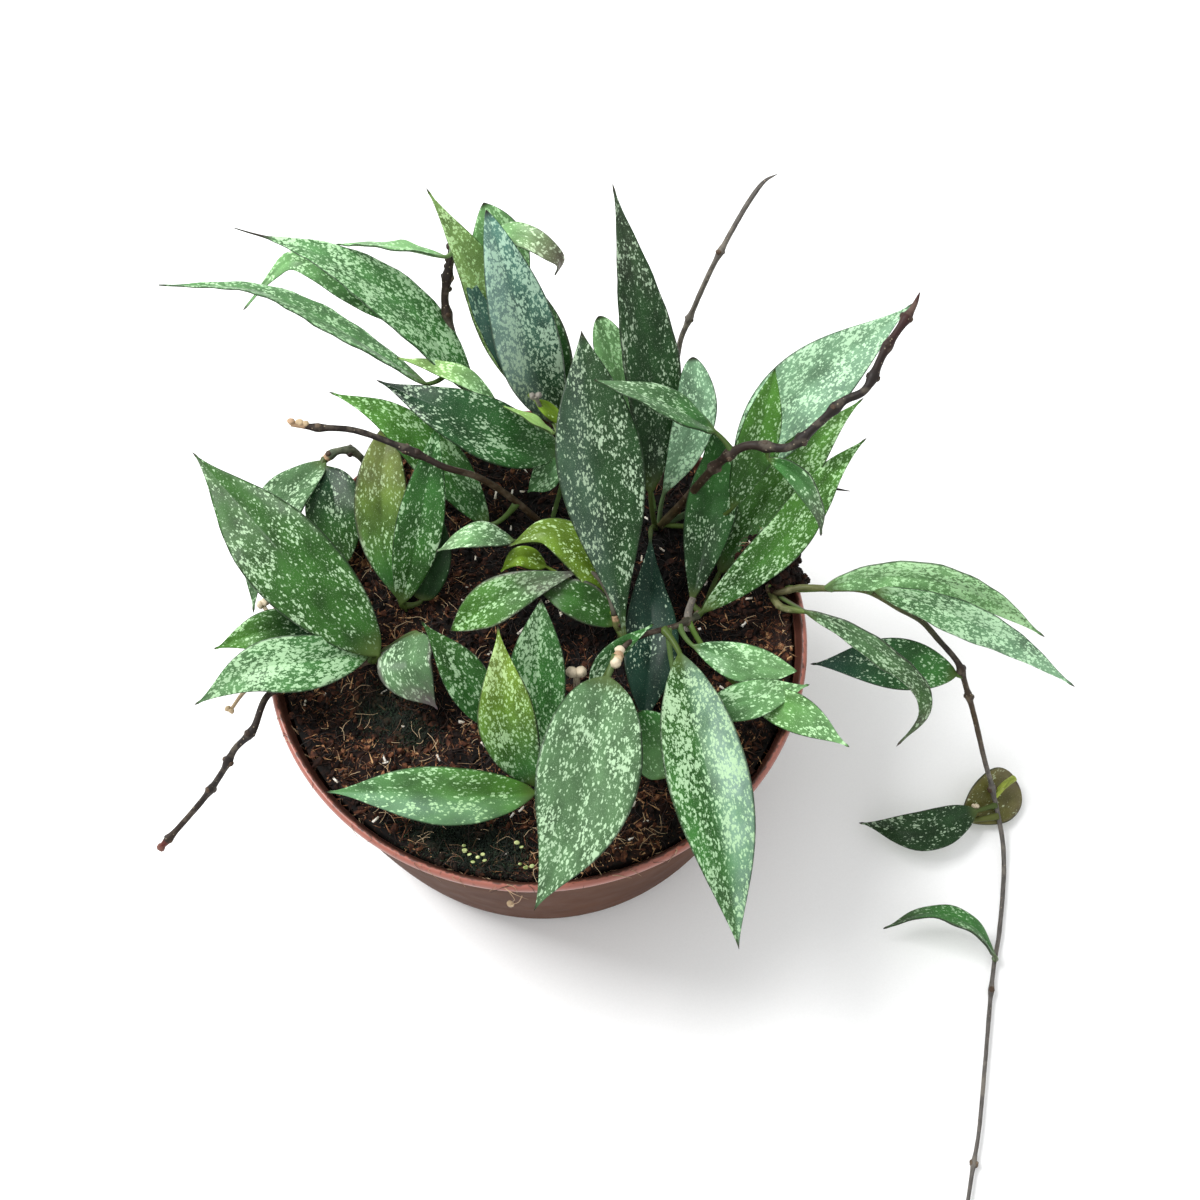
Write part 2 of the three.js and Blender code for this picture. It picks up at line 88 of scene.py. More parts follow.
# %% The camera
VIEW_PLACE = (0.0, -0.272, 0.618)
VIEW_PITCH = 61.3
VIEW_TURN = -5.1
LENS_LENGTH = 45
SENSOR_WIDTH = 36

camera = bpy.data.objects.new("camera", bpy.data.cameras.new("camera"))
camera.data.lens = LENS_LENGTH
camera.data.sensor_width = SENSOR_WIDTH
camera.location = VIEW_PLACE
camera.rotation_euler = (math.radians(90 - VIEW_PITCH), 0, math.radians(VIEW_TURN))
bpy.context.collection.objects.link(camera)
bpy.context.scene.camera = camera
print("camera looks down", VIEW_PITCH, "degrees from", VIEW_PLACE)

# %% [markdown]
# ## Colours and nodes
# Each colour is listed as an sRGB value, but Blender mixes light in linear values, so one function turns
# a hex colour into a linear one. Materials and Geometry Nodes are both trees of nodes, and one function
# adds a node to either: it looks up the family of the node's kind, sets the node's own properties, fills
# its inputs, and links what is a socket. Every new tree hands out this function, bound to itself.

# %% One colour function and one node function
NODE_FAMILIES = ("ShaderNode", "GeometryNode", "FunctionNode", "")


def linear(colour):
    """An sRGB hex colour as the linear red, green, blue and alpha that Blender works in."""
    shares = [int(colour[i:i + 2], 16) / 255 for i in (1, 3, 5)]
    return (*[c / 12.92 if c <= 0.04045 else ((c + 0.055) / 1.055) ** 2.4 for c in shares], 1.0)


def add_node(tree, kind, inputs=(), stops=(), **settings):
    """Adds a node: its settings, its inputs by name or number, and the stops of a colour ramp."""
    family = next(start for start in NODE_FAMILIES if hasattr(bpy.types, start + kind))
    node = tree.nodes.new(family + kind)
    for name, value in settings.items():
        setattr(node, name, value)
    ready = [socket for socket in node.inputs if socket.enabled]
    for name, value in dict(inputs).items():
        socket = ready[name] if isinstance(name, int) else next(s for s in ready if s.name == name)
        if isinstance(value, bpy.types.Node):
            value = next(s for s in value.outputs if s.enabled)
        if isinstance(value, bpy.types.NodeSocket):
            tree.links.new(value, socket)
        else:
            socket.default_value = value
    for number, (place, colour) in enumerate(stops):
        elements = node.color_ramp.elements
        element = elements[number] if number < len(elements) else elements.new(place)
        element.position = place
        element.color = linear(colour)
    return node


def new_material(name):
    """A material with an empty tree, and the function that adds nodes to it."""
    material = bpy.data.materials.new(name)
    material.use_nodes = True
    material.node_tree.nodes.clear()
    return material, partial(add_node, material.node_tree)


# %% [markdown]
# ## The light and the table
# The plant was lit by broad soft daylight that comes from high up on the left and a little from behind,
# and its shadow falls softly to the right and to the front. A large square lamp gives that, and an even
# white sky fills the shadows. The table is a plain matt white sheet, a little rough, so it has no glare.

# %% Sky, soft lamp and table
SKY_STRENGTH = 0.95
LAMP_PLACE = (-0.75, 0.35, 1.25)
LAMP_AIM = (0.02, 0.0, 0.08)
LAMP_SIDE = 0.7
LAMP_POWER = 24
TABLE_HALF = 3.0
TABLE_DROP = 0.2 * MM

world = bpy.data.worlds.new("even_sky")
bpy.context.scene.world = world
world.use_nodes = True
world.node_tree.nodes.clear()
sky = add_node(world.node_tree, "Background", {"Color": linear("#fdfefe"), "Strength": SKY_STRENGTH})
add_node(world.node_tree, "OutputWorld", {"Surface": sky})

lamp = bpy.data.objects.new("soft_lamp", bpy.data.lights.new("soft_lamp", "AREA"))
lamp.data.shape = "SQUARE"
lamp.data.size = LAMP_SIDE
lamp.data.energy = LAMP_POWER
lamp.location = LAMP_PLACE
lamp.rotation_euler = (Vector(LAMP_AIM) - lamp.location).to_track_quat("-Z", "Y").to_euler()
bpy.context.collection.objects.link(lamp)
bpy.context.scene.view_settings.view_transform = "Standard"


def matt_white_sheet():
    """Matt white paperboard: no gloss. Its faint grain is drawn coarser than it is, so that it shows."""
    material, add = new_material("matt_white_sheet")
    place = add("TexCoord").outputs["Object"]
    grain = add("TexNoise", {"Vector": place, "Scale": 0.5 / (0.4 * MM), "Detail": 2.0})
    tone = add("ValToRGB", {0: grain}, stops=[(0.3, "#f6f6f6"), (0.7, "#f9f9f9")])
    finish = add("BsdfPrincipled", {"Base Color": tone, "Roughness": 0.9})
    add("OutputMaterial", {"Surface": finish})
    return material


table_mesh = bpy.data.meshes.new("table")
corners = [(x * TABLE_HALF, y * TABLE_HALF, -TABLE_DROP) for x, y in [(-1, -1), (1, -1), (1, 1), (-1, 1)]]
table_mesh.from_pydata(corners, [], [(0, 1, 2, 3)])
table_mesh.materials.append(matt_white_sheet())
table_top = bpy.data.objects.new("table_top", table_mesh)
bpy.context.collection.objects.link(table_top)
print("lamp", LAMP_POWER, "W,", LAMP_SIDE, "m square")

# %% [markdown]
# ## Meshes from numbers, and meshes from rules
# A few helpers make every piece. The first turns points and faces into a mesh and stores named values on
# its points, which the materials read later. Others start and end a Geometry Nodes tree, here called a
# rule, and shake points about by noise. The next runs a rule on a mesh and keeps the plain mesh that comes
# out: the modifier's sizes are set by each socket's identifier before anything is evaluated, and the
# carrier object is thrown away afterwards. The last two join meshes and place the finished piece.

# %% Make a mesh
VALUE_KINDS = {1: "FLOAT", 3: "FLOAT_VECTOR", 4: "FLOAT_COLOR"}
VALUE_FIELDS = {1: "value", 3: "vector", 4: "color"}


def mesh_of(name, points, faces=(), edges=(), values=None):
    """A mesh of points in millimetres, with named values stored on its points."""
    mesh = bpy.data.meshes.new(name)
    mesh.from_pydata((np.asarray(points) * MM).tolist(), list(edges), list(faces))
    for label, numbers in (values or {}).items():
        numbers = np.asarray(numbers, np.float32)
        width = 1 if numbers.ndim == 1 else numbers.shape[1]
        layer = mesh.attributes.new(label, VALUE_KINDS[width], "POINT")
        layer.data.foreach_set(VALUE_FIELDS[width], numbers.ravel())
    mesh.update()
    return mesh


# %% Start and end a rule
def new_rule(name, sizes):
    """A Geometry Nodes tree with named inputs, each with its kind and value: the tree, inputs and adder."""
    tree = bpy.data.node_groups.new(name, "GeometryNodeTree")
    tree.interface.new_socket("Geometry", in_out="INPUT", socket_type="NodeSocketGeometry")
    tree.interface.new_socket("Geometry", in_out="OUTPUT", socket_type="NodeSocketGeometry")
    for label, (kind, value) in sizes.items():
        socket = tree.interface.new_socket(label, in_out="INPUT", socket_type="NodeSocket" + kind)
        if value is not None:
            socket.default_value = value
    add = partial(add_node, tree)
    return tree, add("NodeGroupInput").outputs, add


def finish_rule(add, geometry, finish):
    """Ends a rule: what is still an instance is made real, gets its finish and goes out."""
    solid = add("RealizeInstances", {"Geometry": geometry})
    finished = add("SetMaterial", {"Geometry": solid, "Material": finish})
    add("NodeGroupOutput", {"Geometry": finished})


# %% Move points by noise
def shaken(add, geometry, noise, reach, middle=(0.5, 0.5, 0.5)):
    """The geometry with its points pushed about in all directions by the colour of a noise."""
    centred = add("VectorMath", {0: noise.outputs["Color"], 1: middle}, operation="SUBTRACT")
    shift = add("VectorMath", {0: centred, "Scale": reach}, operation="SCALE")
    return add("SetPosition", {"Geometry": geometry, "Offset": shift})


def pushed_out(add, geometry, noise, depth):
    """The geometry with its points pushed out and in along their normals by a noise."""
    centred = add("Math", {0: noise, 1: 0.5}, operation="SUBTRACT")
    height = add("Math", {0: centred, 1: depth}, operation="MULTIPLY")
    shift = add("VectorMath", {0: add("InputNormal"), "Scale": height}, operation="SCALE")
    return add("SetPosition", {"Geometry": geometry, "Offset": shift})


# %% Run a rule
def run_rule(tree, source, **sizes):
    """The plain mesh that a tree makes from a source mesh with these sizes."""
    carrier = bpy.data.objects.new("carrier", source)
    bpy.context.collection.objects.link(carrier)
    modifier = carrier.modifiers.new("rule", "NODES")
    modifier.node_group = tree
    for item in tree.interface.items_tree:
        label = item.name.replace(" ", "_").lower()
        if item.in_out == "INPUT" and label in sizes:
            modifier[item.identifier] = sizes[label]
    graph = bpy.context.evaluated_depsgraph_get()
    grown = carrier.evaluated_get(graph)
    mesh = bpy.data.meshes.new_from_object(grown, preserve_all_data_layers=True, depsgraph=graph)
    bpy.data.objects.remove(carrier)
    return mesh


# %% Join meshes and place a piece
def joined(name, meshes):
    """One object at the origin that holds all these meshes, smoothly shaded."""
    parts = [bpy.data.objects.new(name, mesh) for mesh in meshes]
    for part in parts:
        bpy.context.collection.objects.link(part)
        part.data.shade_smooth()
    if len(parts) > 1:
        with bpy.context.temp_override(active_object=parts[0], selected_editable_objects=parts):
            bpy.ops.object.join()
    parts[0].name = name
    parts[0].data.name = name
    return parts[0]


def place_on_root(piece, slot, *nodes):
    """Lets a finished piece ride on the plant and stand for its plain solids. Its slot is not used."""
    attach(piece, "root")
    if nodes:
        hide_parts(*nodes)
    piece.data.calc_loop_triangles()
    print(piece.name, len(piece.data.loop_triangles), "triangles")


# %% [markdown]
# ## The pot
# The pot is one thin moulding of polypropylene: a flat base with drain holes, a bowl-shaped wall, a
# collar that stacks into the next pot, and a rolled bead round the rim. Everything on it is round, so its
# outline is drawn once and spun about the upright axis. Spinning can turn a shell inside out, so doubles
# are merged first and the normals are worked out again. The drain holes are cut with a Boolean modifier.

# %% The pot's sizes and outline
RIM_RADIUS = 105
POT_HEIGHT = 100
BASE_RADIUS = 85
WALL = 1.8
BEAD = 3.0
BEAD_HEIGHT = 4.6
COLLAR_RADIUS = 102.5
COLLAR_HEIGHT = 11
COLLAR_STEP = 1.2
BOWL_ROUNDING = 0.75
BOWL_STEPS = 24
BEAD_STEPS = 18
BEAD_TURN = (-60, 175)
SPIN_STEPS = 240
FOOT_ROUNDING = 1.2
collar_foot = POT_HEIGHT - BEAD_HEIGHT - COLLAR_HEIGHT
bowl_top = COLLAR_RADIUS - COLLAR_STEP


def bowl_radius(height):
    """The outside radius of the bowl at a height: it widens quickly near the base and then slowly."""
    return BASE_RADIUS + (bowl_top - BASE_RADIUS) * (height / collar_foot) ** BOWL_ROUNDING


def bowl_wall(inset, lowest):
    """Points up the bowl's wall, moved in by the inset."""
    heights = np.linspace(lowest, collar_foot, BOWL_STEPS)
    return [(bowl_radius(height) - inset, height) for height in heights]


def pot_outline():
    """The pot's section from the middle of the base, out, up, over the bead and back down inside."""
    across, up = RIM_RADIUS - BEAD / 2, POT_HEIGHT - BEAD_HEIGHT / 2
    turns = np.radians(np.linspace(*BEAD_TURN, BEAD_STEPS))
    bead = [(across + BEAD / 2 * math.cos(a), up + BEAD_HEIGHT / 2 * math.sin(a)) for a in turns]
    foot = [(BASE_RADIUS - FOOT_ROUNDING, 0), (BASE_RADIUS - 0.3 * FOOT_ROUNDING, 0.3 * FOOT_ROUNDING)]
    collar = [
        (bowl_top + 0.3, collar_foot + 0.2),
        (COLLAR_RADIUS - 0.2, collar_foot + COLLAR_STEP - 0.3),
        (COLLAR_RADIUS, collar_foot + COLLAR_STEP),
        (COLLAR_RADIUS, POT_HEIGHT - BEAD_HEIGHT - 0.4),
    ]
    inner = COLLAR_RADIUS - WALL
    inside_collar = [(inner, POT_HEIGHT - BEAD_HEIGHT), (inner, collar_foot + COLLAR_STEP)]
    inside = bowl_wall(WALL, WALL)[::-1]
    return [(0, 0), *foot, *bowl_wall(0, FOOT_ROUNDING), *collar, *bead, *inside_collar, *inside, (0, WALL)]


# %% Spin the outline
def spun(name, outline):
    """A closed shell turned about the upright axis from its section."""
    shell = bmesh.new()
    corners = [shell.verts.new((radius * MM, 0, height * MM)) for radius, height in outline]
    edges = [shell.edges.new(pair) for pair in zip(corners, corners[1:])]
    bmesh.ops.spin(shell, geom=corners + edges, axis=(0, 0, 1), cent=(0, 0, 0), angle=math.tau,
                   steps=SPIN_STEPS, use_merge=True)
    bmesh.ops.remove_doubles(shell, verts=shell.verts, dist=0.01 * MM)
    bmesh.ops.recalc_face_normals(shell, faces=shell.faces)
    mesh = bpy.data.meshes.new(name)
    shell.to_mesh(mesh)
    shell.free()
    return mesh


# %% Cut the drain holes
DRAIN_COUNT = 8
DRAIN_RADIUS = 4.5
DRAIN_CIRCLE = 58
DRAIN_SIDES = 32
DRAIN_DEPTH = 6 * WALL


def drain_cutter():
    """Eight upright pegs that stand where the drain holes are."""
    pegs = bmesh.new()
    for number in range(DRAIN_COUNT):
        angle = math.tau * number / DRAIN_COUNT
        made = bmesh.ops.create_cone(pegs, cap_ends=True, segments=DRAIN_SIDES, radius1=DRAIN_RADIUS * MM,
                                     radius2=DRAIN_RADIUS * MM, depth=DRAIN_DEPTH * MM)
        shift = (DRAIN_CIRCLE * math.cos(angle) * MM, DRAIN_CIRCLE * math.sin(angle) * MM, 0)
        bmesh.ops.translate(pegs, verts=made["verts"], vec=shift)
    mesh = bpy.data.meshes.new("drain_pegs")
    pegs.to_mesh(mesh)
    pegs.free()
    return mesh


def pot_mesh():
    """The spun shell with its drain holes cut."""
    shell = bpy.data.objects.new("shell", spun("shell", pot_outline()))
    pegs = bpy.data.objects.new("pegs", drain_cutter())
    for piece in (shell, pegs):
        bpy.context.collection.objects.link(piece)
    cut = shell.modifiers.new("drain_holes", "BOOLEAN")
    cut.object = pegs
    cut.operation = "DIFFERENCE"
    graph = bpy.context.evaluated_depsgraph_get()
    mesh = bpy.data.meshes.new_from_object(shell.evaluated_get(graph), depsgraph=graph)
    bpy.data.objects.remove(shell)
    bpy.data.objects.remove(pegs)
    return mesh


# %% [markdown]
# Cheap plant pots are moulded from reground polypropylene, coloured like terracotta. The surface has a
# satin skin that catches a broad soft highlight along the bead, and a faint orange-peel. The lip is
# coloured lighter than the wall as painted light: the bead is painted lit and the wall below it shaded.
# Peat dust and dirt lie just inside the lip. All of that goes in the material: the tone wanders slowly,
# dust gathers by height, and the bump is a fraction of a tenth of a millimetre.

# %% The pot's plastic
# painted light: between these heights the plastic turns from the shaded wall tone to a lighter, lit lip
PAINTED_LIT_LIP = (94.6 * MM, 95.6 * MM)
DUST_HEIGHTS = (70 * MM, 99 * MM)
DIRT_LINE = (104.6 * MM, 105.2 * MM)
DIRT_HEIGHTS = (94 * MM, 96 * MM)


def moulded_polypropylene():
    """Terracotta-brown moulded polypropylene: satin, slightly mottled, dusty by the soil line."""
    material, add = new_material("moulded_polypropylene")
    place = add("TexCoord").outputs["Object"]
    height = add("SeparateXYZ", {0: place}).outputs["Z"]
    mottle = add("TexNoise", {"Vector": place, "Scale": 0.5 / (14 * MM), "Detail": 3.0})
    wall = add("ValToRGB", {0: mottle}, stops=[(0.3, "#4b3227"), (0.7, "#593c2e")])
    # painted light: the lip is mixed to a lighter tone, as if lit, over the darker shaded wall
    painted_lit_lip = add("MapRange", {0: height, 1: PAINTED_LIT_LIP[0], 2: PAINTED_LIT_LIP[1]})
    plastic = add("Mix", {0: painted_lit_lip, 1: wall, 2: linear("#94584a")}, data_type="RGBA")
    grit = add("TexNoise", {"Vector": place, "Scale": 0.5 / (1.2 * MM), "Detail": 4.0})
    near_rim = add("MapRange", {0: height, 1: DUST_HEIGHTS[0], 2: DUST_HEIGHTS[1], 3: 0.0, 4: 0.14})
    dust = add("Math", {0: grit, 1: near_rim}, operation="ADD")
    dusty = add("MapRange", {0: dust, 1: 0.76, 2: 0.84, 3: 0.0, 4: 0.5})
    flat = add("VectorMath", {0: place, 1: (1.0, 1.0, 0.0)}, operation="MULTIPLY")
    radius = add("VectorMath", {0: flat}, operation="LENGTH").outputs["Value"]
    ragged_line = add("Math", {0: grit, 1: 3 * MM, 2: radius}, operation="MULTIPLY_ADD")
    dirty = add("MapRange", {0: ragged_line, 1: DIRT_LINE[0], 2: DIRT_LINE[1], 3: 0.85, 4: 0.0})
    high = add("MapRange", {0: height, 1: DIRT_HEIGHTS[0], 2: DIRT_HEIGHTS[1]})
    on_lip = add("Math", {0: dirty, 1: high}, operation="MULTIPLY")
    soiled = add("Math", {0: dusty, 1: on_lip}, operation="MAXIMUM")
    tone = add("Mix", {0: soiled, 1: plastic, 2: linear("#2b1811")}, data_type="RGBA")
    wear = add("TexNoise", {"Vector": place, "Scale": 0.5 / (5 * MM), "Detail": 5.0})
    worn = add("MapRange", {0: wear, 1: 0.3, 2: 0.7, 3: 0.55, 4: 0.68})
    gloss = add("Math", {0: painted_lit_lip, 1: -0.28, 2: worn}, operation="MULTIPLY_ADD")
    shine = add("MapRange", {0: painted_lit_lip, 3: 0.05, 4: 0.5})
    peel = add("TexNoise", {"Vector": place, "Scale": 0.5 / (0.8 * MM), "Detail": 2.0})
    relief = add("Bump", {"Strength": 0.5, "Distance": 0.06 * MM, "Height": peel})
    finish = add("BsdfPrincipled", {"Base Color": tone, "Roughness": gloss, "Normal": relief, "IOR": 1.49,
                                    "Specular IOR Level": shine})
    add("OutputMaterial", {"Surface": finish})
    return material


# %% Put the pot in place
pot = joined("moulded_pot", [pot_mesh()])
pot.data.materials.append(moulded_polypropylene())
place_on_root(pot, "pot_plastic", "pot")

# %% [markdown]
# ## The peat
# The pot is filled with peat and coir almost to the rim. The fill is banked up along the wall, is lumpy
# all over, and is heaped against the rim on the right, where a stem was pressed in. The same height
# formula shapes the plain solid. Here the top gets a fine net of points, and a Geometry Nodes rule
# roughens it twice: lumps about a centimetre across, and crumbs of a millimetre or two.

# %% The bed of peat
SOIL_LEVEL = 89
SOIL_MOUND = 2
COARSE_LUMP = 8
FINE_LUMP = 4.5
WALL_GAP = 0.1
BED_RINGS = 110
BED_SPOKES = 600
HEAP_PLACE = (93, 23)
HEAP_HEIGHT = 21
HEAP_REACH = 15
BANK_HEIGHT = 6.5
BANK_WIDTH = 13
MOSS_PATCHES = [
    ((-63, -24), 12), ((-50, -36), 8), ((-45, -76), 10), ((-31, -83), 12), ((-17, -88), 9), ((8, -80), 6),
]
fill_radius = bowl_top - WALL - WALL_GAP


def soil_height(x, y):
    """The height of the peat's surface before it is roughened."""
    middle = SOIL_MOUND * np.cos(np.hypot(x, y) / RIM_RADIUS * math.pi / 2)
    lumps = np.sin(x / COARSE_LUMP) * np.cos(y / COARSE_LUMP) + np.sin((x - y) / FINE_LUMP) / 2
    heap = HEAP_HEIGHT * bell(np.hypot(x - HEAP_PLACE[0], y - HEAP_PLACE[1]), HEAP_REACH)
    bank = BANK_HEIGHT * smooth((np.hypot(x, y) - fill_radius) / BANK_WIDTH + 1)
    return SOIL_LEVEL + middle + lumps + np.maximum(heap, bank)


def bed_mesh():
    """A closed body of peat: a finely netted top, the bowl's side and a flat bottom."""
    turn = np.linspace(0, math.tau, BED_SPOKES, endpoint=False)
    rings = [(fill_radius * share, None) for share in np.linspace(0, 1, BED_RINGS + 1)[1:]]
    rings += [(radius, height) for radius, height in bowl_wall(WALL + WALL_GAP, WALL + WALL_GAP)[-4::-4]]
    points, top, inner = [(0, 0, float(soil_height(0, 0)))], [1.0], [1.0]
    for radius, height in rings:
        x, y = radius * np.cos(turn), radius * np.sin(turn)
        z = soil_height(x, y) if height is None else np.full(BED_SPOKES, height)
        points += np.stack([x, y, z], axis=-1).tolist()
        top += [float(height is None)] * BED_SPOKES
        inner += [float(height is None and radius < fill_radius - 0.5)] * BED_SPOKES
    faces = [(0, 1 + s, 1 + (s + 1) % BED_SPOKES) for s in range(BED_SPOKES)]
    for ring in range(len(rings) - 1):
        near, far = 1 + ring * BED_SPOKES, 1 + (ring + 1) * BED_SPOKES
        for s in range(BED_SPOKES):
            after = (s + 1) % BED_SPOKES
            faces.append((near + s, far + s, far + after, near + after))
    last = 1 + (len(rings) - 1) * BED_SPOKES
    faces.append(tuple(last + s for s in reversed(range(BED_SPOKES))))
    spots = np.array(points)
    moss = sum(bell(np.hypot(spots[:, 0] - x, spots[:, 1] - y), reach) for (x, y), reach in MOSS_PATCHES)
    return mesh_of("bed", points, faces, values={"top": top, "inner": inner, "moss": moss * np.array(top)})


# %% The rule that roughens the bed
def roughen_rule():
    """Raises and lowers the top of the peat by two sizes of noise."""
    tree, sizes, add = new_rule("roughen_peat", {
        "Lump width": ("Float", 11 * MM), "Lump height": ("Float", 3.6 * MM),
        "Crumb width": ("Float", 2.2 * MM), "Crumb height": ("Float", 1.8 * MM),
        "Finish": ("Material", None),
    })
    place = add("InputPosition")
    on_top = add("InputNamedAttribute", {"Name": "top"}, data_type="FLOAT")
    height = None
    for width, depth, detail in (("Lump width", "Lump height", 2.0), ("Crumb width", "Crumb height", 4.0)):
        scale = add("Math", {0: 0.5, 1: sizes[width]}, operation="DIVIDE")
        bumps = add("TexNoise", {"Vector": place, "Scale": scale, "Detail": detail})
        centred = add("Math", {0: bumps, 1: 0.5}, operation="SUBTRACT")
        raised = add("Math", {0: centred, 1: sizes[depth]}, operation="MULTIPLY")
        height = add("Math", {0: height, 1: raised}, operation="ADD") if height else raised
    kept = add("Math", {0: height, 1: on_top}, operation="MULTIPLY")
    lift = add("CombineXYZ", {"Z": kept})
    moved = add("SetPosition", {"Geometry": sizes["Geometry"], "Offset": lift})
    finish_rule(add, moved, sizes["Finish"])
    return tree


# %% [markdown]
# Damp peat is nearly black in its hollows, with reddish-brown crumbs of coir dust and tan specks where
# it has dried. The same material serves the bed and the loose crumbs: a crumb carries its own tint, and
# the bed, whose tint is nothing, takes its colour from noise. Under the leaves in the middle the colour
# is darkened by painted shade, most in the middle and less farther out. It is rough and has no shine to
# speak of.

# %% The peat's finish
# painted shade: where under the leaves the peat and coir are coloured darker, and how far it reaches
PAINTED_SHADE_PLACE = (28 * MM, 34 * MM, 90 * MM)
PAINTED_SHADE_REACH = (30 * MM, 72 * MM)
PEAT_PAINTED_SHADE = (0.28, 0.09)


def darkened_by_painted_shade(add, place, tint, most, least):
    """The tint lowered by painted shade: most in the middle under the leaves, least farther out."""
    apart = add("VectorMath", {0: place, 1: PAINTED_SHADE_PLACE}, operation="DISTANCE").outputs["Value"]
    painted_shade = add("MapRange", {0: apart, 1: PAINTED_SHADE_REACH[0], 2: PAINTED_SHADE_REACH[1], 3: most, 4: least})
    return add("Math", {0: tint, 1: painted_shade}, operation="SUBTRACT")


def crumbled_peat():
    """Damp peat and coir dust: dark, rough, mottled from near black to red-brown with tan specks."""
    material, add = new_material("crumbled_peat")
    place = add("TexCoord").outputs["Object"]
    tint = add("Attribute", attribute_name="tint").outputs["Fac"]
    moss = add("Attribute", attribute_name="moss").outputs["Fac"]
    patches = add("TexNoise", {"Vector": place, "Scale": 0.5 / (9 * MM), "Detail": 3.0})
    crumbs = add("TexNoise", {"Vector": place, "Scale": 0.5 / (1.4 * MM), "Detail": 5.0, "Roughness": 0.65})
    # painted shade: the tint is lowered in the middle, as if the leaves shaded the peat
    shaded_tint = darkened_by_painted_shade(add, place, tint, *PEAT_PAINTED_SHADE)
    shade = add("Math", {0: patches, 1: 0.52, 2: shaded_tint}, operation="MULTIPLY_ADD")
    level = add("Math", {0: crumbs, 1: 0.75, 2: shade}, operation="MULTIPLY_ADD")
    tone = add("ValToRGB", {0: level}, stops=[
        (0.42, "#040302"), (0.56, "#0e0806"), (0.7, "#28160f"), (0.82, "#4d2c1d"), (0.92, "#7d5439"),
        (1.0, "#b89268")])
    green = add("Math", {0: moss, 1: crumbs}, operation="MULTIPLY")
    mossy = add("MapRange", {0: green, 1: 0.2, 2: 0.45, 3: 0.0, 4: 0.85})
    colour = add("Mix", {0: mossy, 1: tone, 2: linear("#101c14")}, data_type="RGBA")
    relief = add("Bump", {"Strength": 0.8, "Distance": 0.5 * MM, "Height": crumbs})
    finish = add("BsdfPrincipled", {"Base Color": colour, "Roughness": 0.85, "Normal": relief,
                                    "Specular IOR Level": 0.2})
    add("OutputMaterial", {"Surface": finish})
    return material


# %% Put the bed in place
peat_finish = crumbled_peat()
rough_bed = run_rule(roughen_rule(), bed_mesh(), finish=peat_finish)
peat_bed = joined("peat_bed", [rough_bed])
place_on_root(peat_bed, "peat", "soil")

# %% [markdown]
# ## Things scattered on the peat
# Crumbs, thin shreds, chalky feed pellets and tufts of moss all lie on the peat in the same way: points
# are strewn over its top, and a small shape is set on each, turned and sized by chance with a fixed seed.
# One rule does them all. The shape and where it is strewn are chosen when the rule is built. The number
# and the sizes are named inputs.

# %% The scatter rule
def strewn_points(add, sizes, spread):
    """Points strewn over the mesh that comes in, more where the named value is high."""
    where = add("InputNamedAttribute", {"Name": spread}, data_type="FLOAT")
    count = add("Math", {0: where, 1: sizes["Count per area"]}, operation="MULTIPLY")
    return add("DistributePointsOnFaces",
               {"Mesh": sizes["Geometry"], "Density": count, "Seed": sizes["Seed"]})


